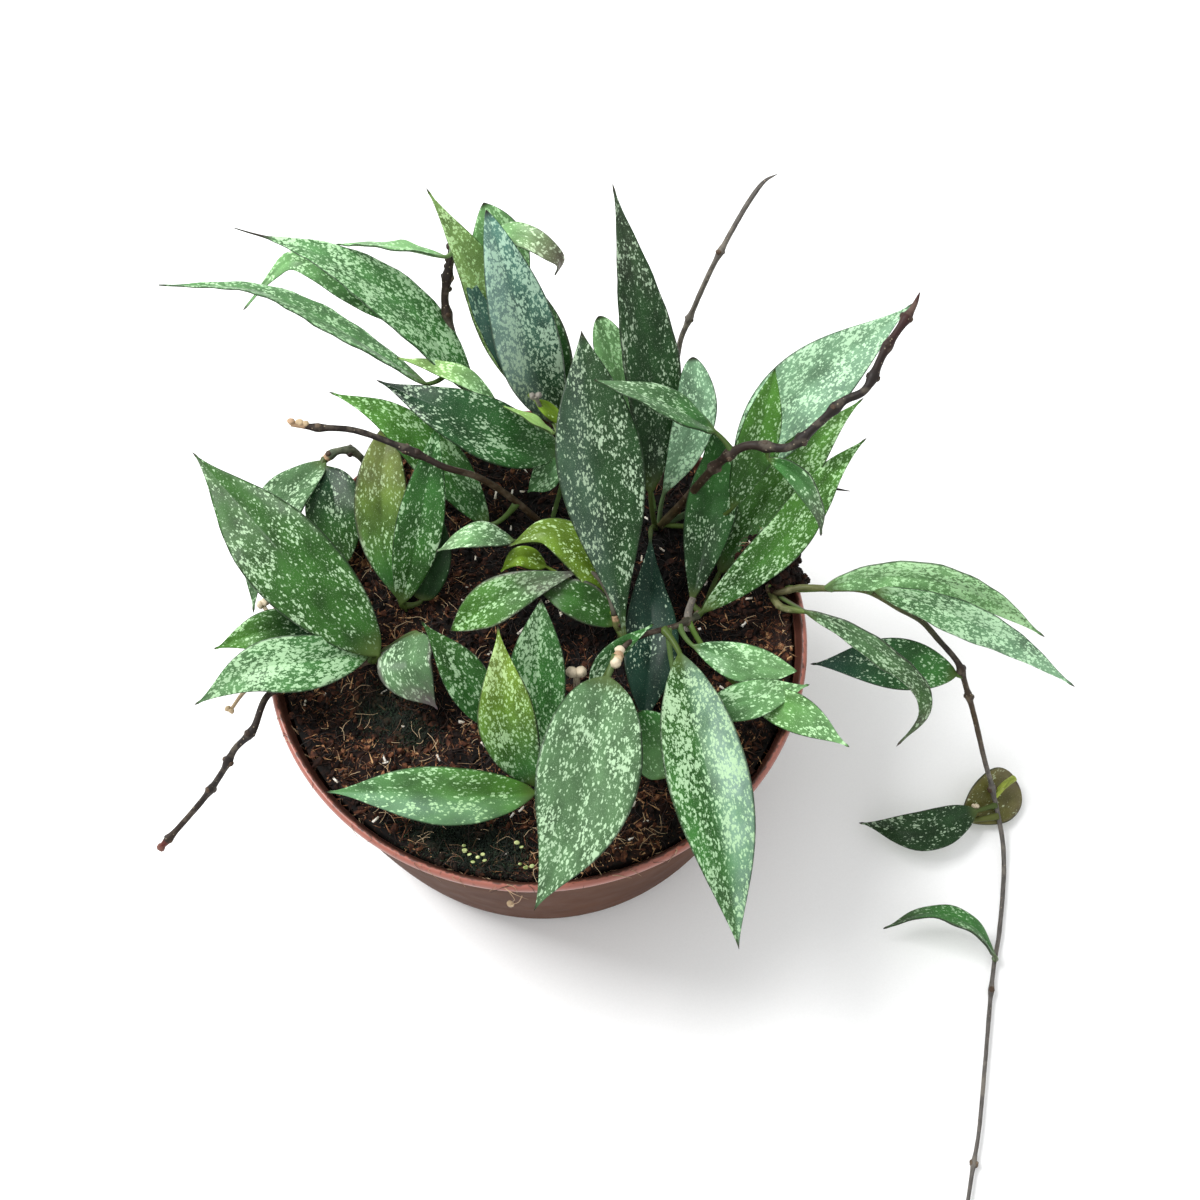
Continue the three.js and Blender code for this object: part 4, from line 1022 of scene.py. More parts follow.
# %% The rule for wood
def wood_rule():
    """Sweeps a round section along a path and ridges its surface along the grain."""
    tree, sizes, add = new_rule("stem_wood", {
        "Sides": ("Int", 14), "Ridge height": ("Float", 0.35 * MM), "Ridge width": ("Float", 0.9 * MM),
        "Ridge length": ("Float", 6 * MM), "Finish": ("Material", None),
    })
    path = add("MeshToCurve", {"Mesh": sizes["Geometry"]})
    thickness = add("InputNamedAttribute", {"Name": "thickness"}, data_type="FLOAT")
    far = add("SplineParameter").outputs["Length"]
    measured = add("StoreNamedAttribute",
                   {"Geometry": path, "Name": "far", "Value": far}, data_type="FLOAT", domain="POINT")
    circle = add("CurvePrimitiveCircle", {"Resolution": sizes["Sides"], "Radius": 1.0})
    spoke = add("InputPosition")
    marked = add("StoreNamedAttribute", {"Geometry": circle, "Name": "spoke", "Value": spoke},
                 data_type="FLOAT_VECTOR", domain="POINT")
    swept = add("CurveToMesh",
                {"Curve": measured, "Profile Curve": marked, "Scale": thickness, "Fill Caps": True})
    around = add("InputNamedAttribute", {"Name": "spoke"}, data_type="FLOAT_VECTOR")
    distance = add("InputNamedAttribute", {"Name": "far"}, data_type="FLOAT")
    wide = add("Math", {0: 1 * MM, 1: sizes["Ridge width"]}, operation="DIVIDE")
    sideways = add("VectorMath", {0: around, "Scale": wide}, operation="SCALE")
    lengthways = add("Math", {0: distance, 1: sizes["Ridge length"]}, operation="DIVIDE")
    forward = add("CombineXYZ", {"Z": lengthways})
    grain = add("VectorMath", {0: sideways, 1: forward}, operation="ADD")
    kept = add("StoreNamedAttribute", {"Geometry": swept, "Name": "grain", "Value": grain},
               data_type="FLOAT_VECTOR", domain="POINT")
    ridges = add("TexNoise", {"Vector": grain, "Scale": 1.0, "Detail": 3.0})
    finish_rule(add, pushed_out(add, kept, ridges, sizes["Ridge height"]), sizes["Finish"])
    return tree


# %% [markdown]
# Young hoya stems are smooth and olive green. As they age, a thin corky bark turns them brown, then
# grey, with fine lengthwise wrinkles and small pale dots, the lenticels that let the stem breathe. The
# material takes its tone from the colour that the stem carries, darkens the wrinkles and lets a slight
# satin through in random blotches.

# %% The bark's finish
def thin_ridged_bark():
    """Hoya bark: a thin, finely wrinkled, nearly matt skin with pale lenticels."""
    material, add = new_material("thin_ridged_bark")
    bark = add("Attribute", attribute_name="bark").outputs["Color"]
    grain = add("Attribute", attribute_name="grain").outputs["Vector"]
    place = add("TexCoord").outputs["Object"]
    wrinkles = add("TexNoise", {"Vector": grain, "Scale": 1.6, "Detail": 5.0, "Roughness": 0.6})
    blotches = add("TexNoise", {"Vector": place, "Scale": 0.5 / (2.5 * MM), "Detail": 3.0})
    darker = add("Mix", {0: 0.55, 1: bark, 2: linear("#120d0a")}, data_type="RGBA")
    lighter = add("Mix", {0: 0.1, 1: bark, 2: linear("#c2b6a0")}, data_type="RGBA")
    depth = add("MapRange", {0: wrinkles, 1: 0.35, 2: 0.62})
    ridged = add("Mix", {0: depth, 1: darker, 2: bark}, data_type="RGBA")
    worn = add("MapRange", {0: blotches, 1: 0.52, 2: 0.66})
    patched = add("Mix", {0: worn, 1: ridged, 2: lighter}, data_type="RGBA")
    dots = add("TexVoronoi", {"Vector": place, "Scale": 1 / (2.2 * MM)})
    pale = add("MapRange", {0: dots, 1: 0.1, 2: 0.16, 3: 0.4, 4: 0.0})
    colour = add("Mix", {0: pale, 1: patched, 2: linear("#b3a48a")}, data_type="RGBA")
    gloss = add("MapRange", {0: blotches, 1: 0.3, 2: 0.7, 3: 0.5, 4: 0.72})
    relief = add("Bump", {"Strength": 0.7, "Distance": 0.2 * MM, "Height": wrinkles})
    finish = add("BsdfPrincipled",
                 {"Base Color": colour, "Roughness": gloss, "Normal": relief, "Specular IOR Level": 0.25})
    add("OutputMaterial", {"Surface": finish})
    return material


# %% Sweep the wood of one stem
BURIED_END = 70
BURIED_REACH = 91
NODE_SWELL = 0.5
NODE_REACH = 2.5
RING_GAP = 0.8
BUD_LENGTH = 11
CUT_LENGTH = 1.6
TIP_SLIMMEST = 0.12
TIP_BARK = {
    "cut": (CUT_LENGTH, "cork"), "knobbly": (3 * CUT_LENGTH, "cork"), "blunt": (2 * CUT_LENGTH, "red"),
}
bark_finish = thin_ridged_bark()
wood = wood_rule()


def stem_path(shoot):
    """The stem's curve, from its buried end, which is kept clear of the pot's wall, to its tip."""
    x, y, z = shoot.path[0]
    inwards = min(1, BURIED_REACH / math.hypot(x, y))
    x, y = x * inwards, y * inwards
    return Path([(x, y, BURIED_END), (x, y, (BURIED_END + z) / 2), *shoot.path])


def bark_colours(names, share):
    """The bark's colour at shares of the length, blended from one named bark to the next."""
    stops = np.linspace(0, 1, len(names))
    tones = np.array([linear(BARKS[name]) for name in names])
    return np.stack([np.interp(share, stops, tones[:, k]) for k in range(4)], axis=-1)


def wood_mesh(shoot, path):
    """The stem's wood: tapered, swollen at its nodes and finished at its tip."""
    share = np.linspace(0, 1, math.ceil(path.length / RING_GAP) + 1)
    to_tip = (1 - share) * path.length
    swelling = np.zeros(len(share))
    for node in shoot.nodes:
        swelling = swelling + bell((share - node) * path.length, NODE_REACH)
    thick = shoot.radius * (1 - shoot.taper * share) * (1 + NODE_SWELL * np.minimum(swelling, 1))
    colours = bark_colours(shoot.bark, share)
    if shoot.end in ("bud", "point"):
        thick *= np.maximum(np.sqrt(np.clip(to_tip / BUD_LENGTH, 0, 1)), TIP_SLIMMEST)
    if shoot.end in TIP_BARK:
        length, tone = TIP_BARK[shoot.end]
        colours[to_tip < length] = linear(BARKS[tone])
    edges = [(i, i + 1) for i in range(len(share) - 1)]
    values = {"thickness": thick * MM, "bark": colours}
    line = mesh_of("line", path.at(share), edges=edges, values=values)
    return run_rule(wood, line, finish=bark_finish)


# %% [markdown]
# ## Knobs and scars
# A hoya's leaves grow in pairs. Where a leaf has dropped, it leaves a small round scar on each side of
# the node, often with a dry, corky rim, and short spurs carry old flower stalks. Each one is a little
# lumpy cushion that faces away from the stem, so the points of a small mesh hold its direction, size
# and colour, and a rule sets a dented ball on each.

# %% The rule for knobs
def knob_rule():
    """Sets a dented little cushion on each point, facing the way that the point says."""
    tree, sizes, add = new_rule("stem_knobs", {
        "Dent width": ("Float", 0.9 * MM), "Dent depth": ("Float", 1.3 * MM), "Finish": ("Material", None),
    })
    facing = add("InputNamedAttribute", {"Name": "facing"}, data_type="FLOAT_VECTOR")
    size = add("InputNamedAttribute", {"Name": "size"}, data_type="FLOAT_VECTOR")
    turn = add("AlignRotationToVector", {"Vector": facing}, axis="Z")
    ball = add("MeshIcoSphere", {"Radius": 1.0, "Subdivisions": 3})
    set_on = add("InstanceOnPoints",
                 {"Points": sizes["Geometry"], "Instance": ball, "Rotation": turn, "Scale": size})
    solid = add("RealizeInstances", {"Geometry": set_on})
    scale = add("Math", {0: 0.5, 1: sizes["Dent width"]}, operation="DIVIDE")
    dents = add("TexNoise", {"Scale": scale, "Detail": 2.0})
    finish_rule(add, pushed_out(add, solid, dents, sizes["Dent depth"]), sizes["Finish"])
    return tree


# %% Set knobs at chosen places
knobs = knob_rule()


def set_knobs(name, rows, finish, more=(), **sizes):
    """Knobs from rows of a place, a way to face and a size, with any more values that the finish reads."""
    places, ways, scales = zip(*rows)
    values = {"facing": np.array(ways), "size": np.array(scales) * MM, **dict(more)}
    return run_rule(knobs, mesh_of(name, places, values=values), finish=finish, **sizes)


# %% Scars at the nodes
SCAR_SIZE = np.array([1.15, 1.15, 0.7])
SCAR_RISE = 0.85
SCAR_BROWN = 0.45
LAST_SCAR = 0.985


def scar_rows(shoot, path, chance):
    """A pair of scars at each node, a quarter turn on from the pair before."""
    rows = []
    for number, node in enumerate(shoot.nodes):
        share = min(node, LAST_SCAR)
        centre, along = path.at(share), path.along(share)
        side = squared(np.array([0.0, 0.0, 1.0]) + 0.01 * chance.random(3), along)
        if number % 2:
            side = np.cross(along, side)
        radius = shoot.radius * (1 - shoot.taper * share) * (1 + NODE_SWELL)
        for way in (side, -side):
            tone = "brown" if chance.random() < SCAR_BROWN else "dark"
            size = SCAR_SIZE * chance.uniform(0.8, 1.2)
            rows.append((centre + way * radius * SCAR_RISE, way, size, tone))
    return rows


# %% Knobs at the tip
PAIR_WAY = np.array([0.0, -1.0, 0.3])
PAIR_SIZE = 1.9
PAIR_KNOBS = [(3.0, -0.5, "cream"), (0.8, 0.4, "cork"), (-0.8, 1.0, "straw"), (-3.0, 1.6, "cream")]
KNOB_SIZE = 1.6
KNOB_GAPS = (0.0, 3.0, 5.5)
CROWN_SIZE = 1.7
CROWN_RISE = 0.9
CROWN_GAPS = (0, 2, 5, 8, 12, 17, 22)
TWIN_SIZE = 1.4
TWIN_RISE = 0.8
BLUNT_SIZE = np.array([1.9, 1.7, 1.5])


def tip_rows(shoot, path, chance):
    """The knobs that finish a tip: each one's place, way, size and tone."""
    tip, ahead, rows = path.at(1.0), path.along(1.0), []
    if shoot.end == "pair":
        way = squared(PAIR_WAY, ahead)
        for back, drop, tone in PAIR_KNOBS:
            size = PAIR_SIZE * chance.uniform(0.75, 1.1, 3)
            rows.append((tip - ahead * back + way * drop, way, size, tone))
    if shoot.end == "knobbly":
        for back, turn in [(back, turn) for back in KNOB_GAPS for turn in (-1, 1)]:
            share = 1 - back / path.length
            way = squared(np.array([turn, 0.4, 0.6]), path.along(share))
            size = KNOB_SIZE * chance.uniform(0.7, 1.0, 3)
            rows.append((path.at(share) + way * KNOB_SIZE / 2, way, size, "straw" if back else "cork"))
    if shoot.end == "crown":
        for back in CROWN_GAPS:
            share = 1 - back / path.length
            way = squared(chance.uniform(-1, 1, 3), path.along(share))
            size = CROWN_SIZE * chance.uniform(0.7, 1.2, 3)
            tone = "straw" if back == CROWN_GAPS[-1] else "dark"
            rows.append((path.at(share) + way * CROWN_RISE, way, size, tone))
    if shoot.end == "twin":
        size = TWIN_SIZE * shoot.radius
        for turn in (-1, 1):
            way = squared(np.array([turn, 0.3, 0.8]), ahead + 0.01)
            place = tip + way * size * TWIN_RISE
            rows.append((place, way, size * chance.uniform(0.8, 1.1, 3), shoot.bark[-1]))
    if shoot.end == "blunt":
        rows.append((tip, ahead, BLUNT_SIZE, "red"))
    return rows


# %% All the knobs of one stem
def knob_mesh(shoot, path, chance):
    """The scars of a stem and the knobs of its tip."""
    rows = scar_rows(shoot, path, chance) + tip_rows(shoot, path, chance)
    if not rows:
        return mesh_of("knobs", np.zeros((0, 3)))
    bark = [linear(BARKS[row[3]]) for row in rows]
    return set_knobs("knobs", [row[:3] for row in rows], bark_finish, {"bark": bark})


# %% [markdown]
# ## A leaf
# A hoya leaf is a thick blade, folded a little along its midrib, full near the base and drawn out to a
# fine point. It could be modelled by hand once and copied, but no two of these leaves bend alike, so each
# is lofted: a closed ring of points is set at many stations along the spine, round at the stalk and flat
# in the blade. The stalk runs on under the blade as a rib, the upper side has a shallow groove above it,
# and the margins are rounded, turned down a little and rippled. Numbers that the finish needs are stored
# on the points: the place on the blade in millimetres, how near the edge is, and the leaf's own look.

# %% The leaf's rule of shape
LIGHT = np.array([0, -0.48, 0.88])
BLADE_THICKNESS = 1.1
BLADE_FOLD = math.radians(14)
EDGE_WAVE = 0.5
EDGE_RIPPLE = 0.35
EDGE_TURN = 0.07
RIPPLE_LENGTH = 13
SECOND_RIPPLE = 0.8
STALK_RADIUS = 1.4
STALK_SLIMMEST = 0.55
BROAD_LEAF = 32
STALK_TAPER = 0.3
STALK_FOOT = 0.35
FOOT_REACH = 2.5
RIB_TAPER = 0.8
RIB_DEPTH = 0.9
RIB_WIDTH = 1.2
GROOVE_DEPTH = 0.22
GROOVE_WIDTH = 0.7
FOLD_SOFTNESS = 0.12
DRIP_HALF = 0.45
THINNEST_HALF = 0.05
BLADE_START = 0.11
STALK_STATIONS = 9
BLADE_STATIONS = 44
NEAREST_SAMPLES = 81
DRY_TIP = 0.955
UNDERSIDE_STEP = 50.0
EDGE_TO_RIB = [1, 0.985, 0.94, 0.86, 0.74, 0.6, 0.45, 0.3, 0.17, 0.08, 0.03]


def outline_half(t, one):
    """Half the width of a blade at shares of its length, with a thin drip tip past its end."""
    belly, fullness, fineness = one.form
    along = np.clip(t / (1 - one.drip), 0, 1)
    eased = along ** (math.log(0.5) / math.log(belly))
    blade = one.width / 2 * np.sin(math.pi * eased).clip(0) ** (fullness + fineness * along)
    return np.maximum(blade, DRIP_HALF * np.clip((1 - t) / (one.drip + 0.02), 0, 1))


# %% The stalk, and the way a leaf faces
def stalk_points(path, spine, joint):
    """The stalk: it leaves the stem at its joint, or where it passes closest, and bends into line."""
    base = spine.at(0.0)
    nearby = path.at(np.linspace(0, 1, NEAREST_SAMPLES))
    start = nearby[np.argmin(np.linalg.norm(nearby - base, axis=1))] if joint is None else path.at(joint)
    reach = np.linalg.norm(start - base)
    in_line = base - spine.along(0.0) * reach / 2
    bend = ((start + base) / 2 + in_line) / 2
    t = np.linspace(0, 1, STALK_STATIONS + 1)[:-1, None]
    points = (1 - t) ** 2 * start + 2 * t * (1 - t) * bend + t**2 * base
    ways = unit(2 * (1 - t) * (bend - start) + 2 * t * (base - bend))
    return points, ways, reach


def carried_faces(ways, roll, middle):
    """The way the leaf faces at each station: towards the light in the middle, and carried to the ends."""
    faces = np.zeros_like(ways)
    heart = ways[middle]
    level = squared(LIGHT, heart)
    turn = math.radians(roll)
    faces[middle] = level * math.cos(turn) + np.cross(heart, level) * math.sin(turn)
    for i in range(middle + 1, len(ways)):
        faces[i] = squared(faces[i - 1], ways[i])
    for i in range(middle - 1, -1, -1):
        faces[i] = squared(faces[i + 1], ways[i])
    return faces


# %% Loft one leaf
across_upper = np.array([-v for v in EDGE_TO_RIB] + [0] + EDGE_TO_RIB[::-1])
ring_across = np.concatenate([across_upper, across_upper[-2:0:-1]])
ring_side = np.concatenate([np.ones(len(across_upper)), -np.ones(len(across_upper) - 2)])
ring_side[[0, len(across_upper) - 1]] = 0


def leaf_rings(path, one, chance):
    """The rings of points of one leaf, and the values that go with them."""
    # where the rings stand, and the way that each one faces
    spine = Path(one.spine)
    stalk, stalk_ways, reach = stalk_points(path, spine, one.joint)
    t = (1 - np.cos(np.linspace(0, math.pi, BLADE_STATIONS))) / 2
    centres = np.vstack([stalk, spine.at(t)])
    ways = np.vstack([stalk_ways, spine.along(t)])
    middle = STALK_STATIONS + int(np.argmin(np.abs(t - 0.5)))
    faces = carried_faces(ways, one.roll, middle)
    sides = np.cross(ways, faces)

    # the round stalk, which runs on under the blade, and how far each ring has turned into blade
    down_stalk = np.linspace(0, 1, STALK_STATIONS + 1)[:-1]
    foot = 1 + STALK_FOOT * bell(down_stalk * reach, FOOT_REACH)
    stout = STALK_RADIUS * (STALK_SLIMMEST + (1 - STALK_SLIMMEST) * min(one.width / BROAD_LEAF, 1))
    rod = np.concatenate([stout * (1 - STALK_TAPER * down_stalk) * foot,
                          stout * (1 - STALK_TAPER) * (1 - RIB_TAPER * t)])[:, None]
    blade = np.concatenate([np.zeros(STALK_STATIONS), smooth(t / BLADE_START)])[:, None]
    t = np.concatenate([np.zeros(STALK_STATIONS), t])[:, None]

    # the section of each ring: its half width, its thickness, the rib below and the groove above
    outline = np.where(t > 0, outline_half(t, one), 0)
    half = np.sqrt(outline**2 + (rod * (1 - blade)) ** 2) + THINNEST_HALF
    v = ring_across[None, :]
    x = v * half
    upper = ring_side[None, :]
    roundness = (1 - np.abs(v) ** (2 + 20 * blade)).clip(0) ** 0.5
    thin = BLADE_THICKNESS / 2 * (1 - 0.5 * t**2)
    depth = ((1 - blade) * rod + blade * thin) * roundness
    rib = blade * rod * RIB_DEPTH * bell(x, RIB_WIDTH * rod + 0.1) * (1 - t)
    groove = blade * GROOVE_DEPTH * bell(x, GROOVE_WIDTH) * (1 - t) ** 0.5

    # how the blade's sides rise: the fold, a slow wave, ripples along the edge, and a turned-down margin
    fold = half * math.sin(BLADE_FOLD) * (np.sqrt(v**2 + FOLD_SOFTNESS**2) - FOLD_SOFTNESS)
    wave = -EDGE_WAVE * np.sin(4 * math.pi * t) * np.sin(math.pi * t) * v * np.abs(v)
    phase = chance.uniform(0, math.tau, 2)
    ripples = np.where(v < 0, np.sin(t * spine.length / RIPPLE_LENGTH * math.tau + phase[0]),
                       np.sin(t * spine.length / RIPPLE_LENGTH * SECOND_RIPPLE * math.tau + phase[1]))
    ripple = EDGE_RIPPLE * ripples * np.sin(math.pi * t) * np.abs(v) ** 3
    turned_down = EDGE_TURN * half * v**4
    lift = blade * (fold + wave + ripple - turned_down)
    height = lift + np.where(upper > 0, depth - groove, np.where(upper < 0, -depth - rib, 0))
    spread = x * (1 - blade * (1 - math.cos(BLADE_FOLD)))
    points = centres[:, None] + sides[:, None] * spread[..., None] + faces[:, None] * height[..., None]
    return points, dict(t=t, v=v, x=x, blade=blade, upper=upper, length=spine.length)


# %% Values for the leaf's finish
def leaf_values(one, shape, seed):
    """What the finish reads: the place on the blade, the look, and which part of the leaf this is."""
    grid = np.broadcast(shape["t"], shape["v"]).shape
    whole = {key: np.broadcast_to(shape[key], grid) for key in ("t", "v", "x", "blade", "upper")}
    under = np.where(whole["upper"] < 0, UNDERSIDE_STEP, 0.0)
    place = np.stack([whole["x"], whole["t"] * shape["length"], seed + under], axis=-1)
    dry = smooth((whole["t"] - (DRY_TIP - one.drip)) / (1 - DRY_TIP))
    flecks = one.flecks * (1 - dry)
    habit = np.stack([np.abs(whole["v"]), flecks, np.full(grid, abs(one.blush))], axis=-1)
    age = whole["t"] if one.blush >= 0 else 1 - whole["t"]
    part = np.stack([(whole["upper"] + 1) / 2, age, whole["blade"]], axis=-1)
    base, tip, dark = (np.array(linear(GREENS[name])) for name in (*one.greens, "dry"))
    share, dry = smooth(whole["t"] * 1.15 - 0.05)[..., None], dry[..., None]
    green = (base * (1 - share) + tip * share) * (1 - dry) + dark * dry
    # painted sheen: one side of the blade is marked in the green's alpha for a pale painted reflection
    sheen_side = smooth((np.sign(one.haze) * whole["v"] + 0.2) / 0.7)
    green[..., 3] = abs(one.haze) * sheen_side * np.sin(math.pi * whole["t"]).clip(0) ** 0.5
    return {"place": place, "habit": habit, "part": part, "green": green}


# %% [markdown]
# Rings become a mesh by joining each to the next with quads. One many-sided face closes the foot of the
# stalk, inside the stem, and another closes the tip. All leaves of a stem go into one mesh.

# %% The leaves of one stem as one mesh
SEED_STEP = 7.3


def leaves_mesh(shoot, path, chance, first):
    """All the leaves of a stem in one mesh, with their values."""
    points, faces, values = [], [], {}
    for number, one in enumerate(shoot.leaves):
        rings, shape = leaf_rings(path, one, chance)
        start, (count, sides) = sum(map(len, points)), rings.shape[:2]
        for ring in range(count - 1):
            near, far = start + ring * sides, start + (ring + 1) * sides
            for s in range(sides):
                after = (s + 1) % sides
                faces.append((near + s, near + after, far + after, far + s))
        faces.append(tuple(start + s for s in reversed(range(sides))))
        faces.append(tuple(start + (count - 1) * sides + s for s in range(sides)))
        points.append(rings.reshape(-1, 3))
        for label, numbers in leaf_values(one, shape, (first + number) * SEED_STEP).items():
            values.setdefault(label, []).append(numbers.reshape(-1, numbers.shape[-1]))
    values = {label: np.vstack(numbers) for label, numbers in values.items()}
    return mesh_of("leaves", np.vstack(points), faces, values=values)


# %% [markdown]
# ## The leaf's skin
# A wax plant's leaf has a thick clear cuticle over green flesh, so it shines softly and evenly, like
# satin rather than glass. The silver flecks are pockets of air under that skin. They are ragged, mostly
# one or two millimetres across, a little longer than wide, and they crowd together in drifts, above all
# towards the edges. Voronoi cells about a millimetre wide, with their edges frayed by noise, give them:
# each cell draws a lot, a slow noise raises the odds where a drift lies, and only the lucky ones turn
# silver. Fine dots fill in between. The margin is a thin dark line, old edges and tips blush
# purple-brown, a painted sheen, a pale painted reflection, lies on one side of some leaves, and the
# underside is paler and plainer. The stalk has no flecks. The skin's pores are too fine to show, so they
# are drawn coarser than they are.

# %% The flecks and the flesh
FLECK_WIDTH = 0.86
FRAYING = 1.7
DRIFT_WIDTH = 8
TONE_WIDTH = 7
SWELL_WIDTH = 9
PORE_WIDTH = 0.8


def silver_flecks(add, place, drift, flecks, outer):
    """How silver the skin is: ragged cells that win the draw, with fine dots between them."""
    frayed = add("TexNoise", {"Vector": place, "Scale": 1.1 / FLECK_WIDTH, "Detail": 3.0})
    centred = add("VectorMath", {0: frayed.outputs["Color"], 1: (0.5, 0.5, 0.5)}, operation="SUBTRACT")
    shifted = add("VectorMath", {0: centred, "Scale": FRAYING * FLECK_WIDTH}, operation="SCALE")
    ragged = add("VectorMath", {0: place, 1: shifted}, operation="ADD")
    cells = add("TexVoronoi", {"Vector": ragged, "Scale": 1 / FLECK_WIDTH})
    lottery = add("SeparateXYZ", {0: cells.outputs["Color"]}).outputs["X"]
    crowded = add("Math", {0: flecks, 1: 0.75, 2: -1.3}, operation="MULTIPLY_ADD")
    drifted = add("Math", {0: drift, 1: 1.45, 2: crowded}, operation="MULTIPLY_ADD")
    lucky = add("Math", {0: lottery, 1: 0.6, 2: drifted}, operation="MULTIPLY_ADD")
    reach = add("Math", {0: outer, 1: 0.1, 2: lucky}, operation="MULTIPLY_ADD")
    inside = add("Math", {0: reach, 1: cells}, operation="SUBTRACT")
    splash = add("MapRange", {0: inside, 1: -0.06, 2: 0.12, 3: 0.0, 4: 1.0})
    dots = add("TexNoise", {"Vector": place, "Scale": 3.0 / FLECK_WIDTH, "Detail": 2.0})
    dotted = add("Math", {0: flecks, 1: 0.1, 2: dots}, operation="MULTIPLY_ADD")
    specks = add("MapRange", {0: dotted, 1: 0.67, 2: 0.77, 3: 0.0, 4: 0.4})
    return add("Math", {0: splash, 1: specks}, operation="MAXIMUM")


def leaf_flesh(add, green, tones, upper, blade):
    """The green under the skin: mottled on the blade, paler beneath it and olive on the stalk."""
    strength = add("MapRange", {0: tones, 1: 0.3, 2: 0.7, 3: 0.6, 4: 1.35})
    flesh = add("VectorMath", {0: green, "Scale": strength}, operation="SCALE")
    under = add("Mix", {0: 0.35, 1: flesh, 2: linear("#8aa26a")}, data_type="RGBA")
    body = add("Mix", {0: upper, 1: under, 2: flesh}, data_type="RGBA")
    stalk = add("Mix", {0: 0.65, 1: green, 2: linear("#4f5a2c")}, data_type="RGBA")
    return add("Mix", {0: blade, 1: stalk, 2: body}, data_type="RGBA")


# %% The leaf's finish
def waxed_leaf_cuticle():
    """A living leaf under a satin wax cuticle: it gives broad soft highlights over flecked green."""
    material, add = new_material("waxed_leaf_cuticle")
    place = add("Attribute", attribute_name="place").outputs["Vector"]
    green = add("Attribute", attribute_name="green").outputs["Color"]
    habit = add("Attribute", attribute_name="habit").outputs["Vector"]
    part = add("Attribute", attribute_name="part").outputs["Vector"]
    edge, flecks, blush = add("SeparateXYZ", {0: habit}).outputs
    upper, far, blade = add("SeparateXYZ", {0: part}).outputs
    haze = add("Attribute", attribute_name="green").outputs["Alpha"]
    drawn_out = add("VectorMath", {0: place, 1: (1.0, 0.55, 1.0)}, operation="MULTIPLY")

    drift = add("TexNoise", {"Vector": drawn_out, "Scale": 1 / DRIFT_WIDTH, "Detail": 3.0})
    outer = add("Math", {0: edge, 1: 3.0}, operation="POWER")
    silvery = silver_flecks(add, drawn_out, drift, flecks, outer)
    on_top = add("MapRange", {0: upper, 1: 0.3, 2: 0.8, 3: 0.25, 4: 0.9})
    on_blade = add("Math", {0: on_top, 1: blade}, operation="MULTIPLY")
    fleck = add("Math", {0: silvery, 1: on_blade}, operation="MULTIPLY", use_clamp=True)

    tones = add("TexNoise", {"Vector": drawn_out, "Scale": 1 / TONE_WIDTH, "Detail": 3.0})
    grown = leaf_flesh(add, green, tones, upper, blade)
    # painted sheen: a pale painted reflection is mixed in on one side of some leaves, following the drift
    # noise
    sheen = add("Math", {0: haze, 1: drift}, operation="MULTIPLY")
    sheen_on_top = add("Math", {0: sheen, 1: upper}, operation="MULTIPLY", use_clamp=True)
    sheened = add("Mix", {0: sheen_on_top, 1: grown, 2: linear("#b4d3cb")}, data_type="RGBA")
    bright = add("VectorMath", {0: green, "Scale": 2.6}, operation="SCALE")
    silver = add("Mix", {0: 0.42, 1: bright, 2: linear("#dff5d6")}, data_type="RGBA")
    flecked = add("Mix", {0: fleck, 1: sheened, 2: silver}, data_type="RGBA")

    worn = add("Math", {0: far, 1: outer}, operation="MAXIMUM")
    patchy = add("Math", {0: drift, 1: 0.9, 2: worn}, operation="MULTIPLY_ADD")
    aged = add("MapRange", {0: patchy, 1: 1.0, 2: 1.45, 3: 0.0, 4: 0.8})
    tinge = add("Math", {0: aged, 1: blush}, operation="MULTIPLY")
    blushed = add("Mix", {0: tinge, 1: flecked, 2: linear("#5d4a54")}, data_type="RGBA")
    rim = add("MapRange", {0: edge, 1: 0.93, 2: 0.98, 3: 0.0, 4: 0.8})
    rim_on_blade = add("Math", {0: rim, 1: blade}, operation="MULTIPLY")
    colour = add("Mix", {0: rim_on_blade, 1: blushed, 2: linear("#1a2a18")}, data_type="RGBA")

    gloss = add("MapRange", {0: tones, 1: 0.3, 2: 0.7, 3: 0.3, 4: 0.42})
    pores = add("TexNoise", {"Vector": place, "Scale": 1 / PORE_WIDTH, "Detail": 2.0})
    swells = add("TexNoise", {"Vector": drawn_out, "Scale": 1 / SWELL_WIDTH, "Detail": 1.0})
    fine_relief = add("Bump", {"Strength": 0.35, "Distance": 0.05 * MM, "Height": pores})
    relief = add("Bump", {"Strength": 0.6, "Distance": 0.8 * MM, "Height": swells, "Normal": fine_relief})
    finish = add("BsdfPrincipled",
                 {"Base Color": colour, "Roughness": gloss, "Normal": relief, "IOR": 1.45,
                  "Specular IOR Level": 0.14, "Coat Weight": 0.05, "Coat Roughness": 0.25})
    add("OutputMaterial", {"Surface": finish})
    return material


# %% Grow every stem with its leaves
chance = np.random.default_rng(11)
leaf_finish = waxed_leaf_cuticle()
leaf_number = 0
for shoot in STEMS:
    path = stem_path(shoot)
    meshes = [wood_mesh(shoot, path), knob_mesh(shoot, path, chance)]
    if shoot.leaves:
        foliage = leaves_mesh(shoot, path, chance, leaf_number)
        foliage.materials.append(leaf_finish)
        meshes.insert(0, foliage)
        leaf_number += len(shoot.leaves)
    plant = joined("grown_" + shoot.name, meshes)
    place_on_root(plant, "hoya_leaf" if shoot.leaves else "stem_bark", shoot.name)

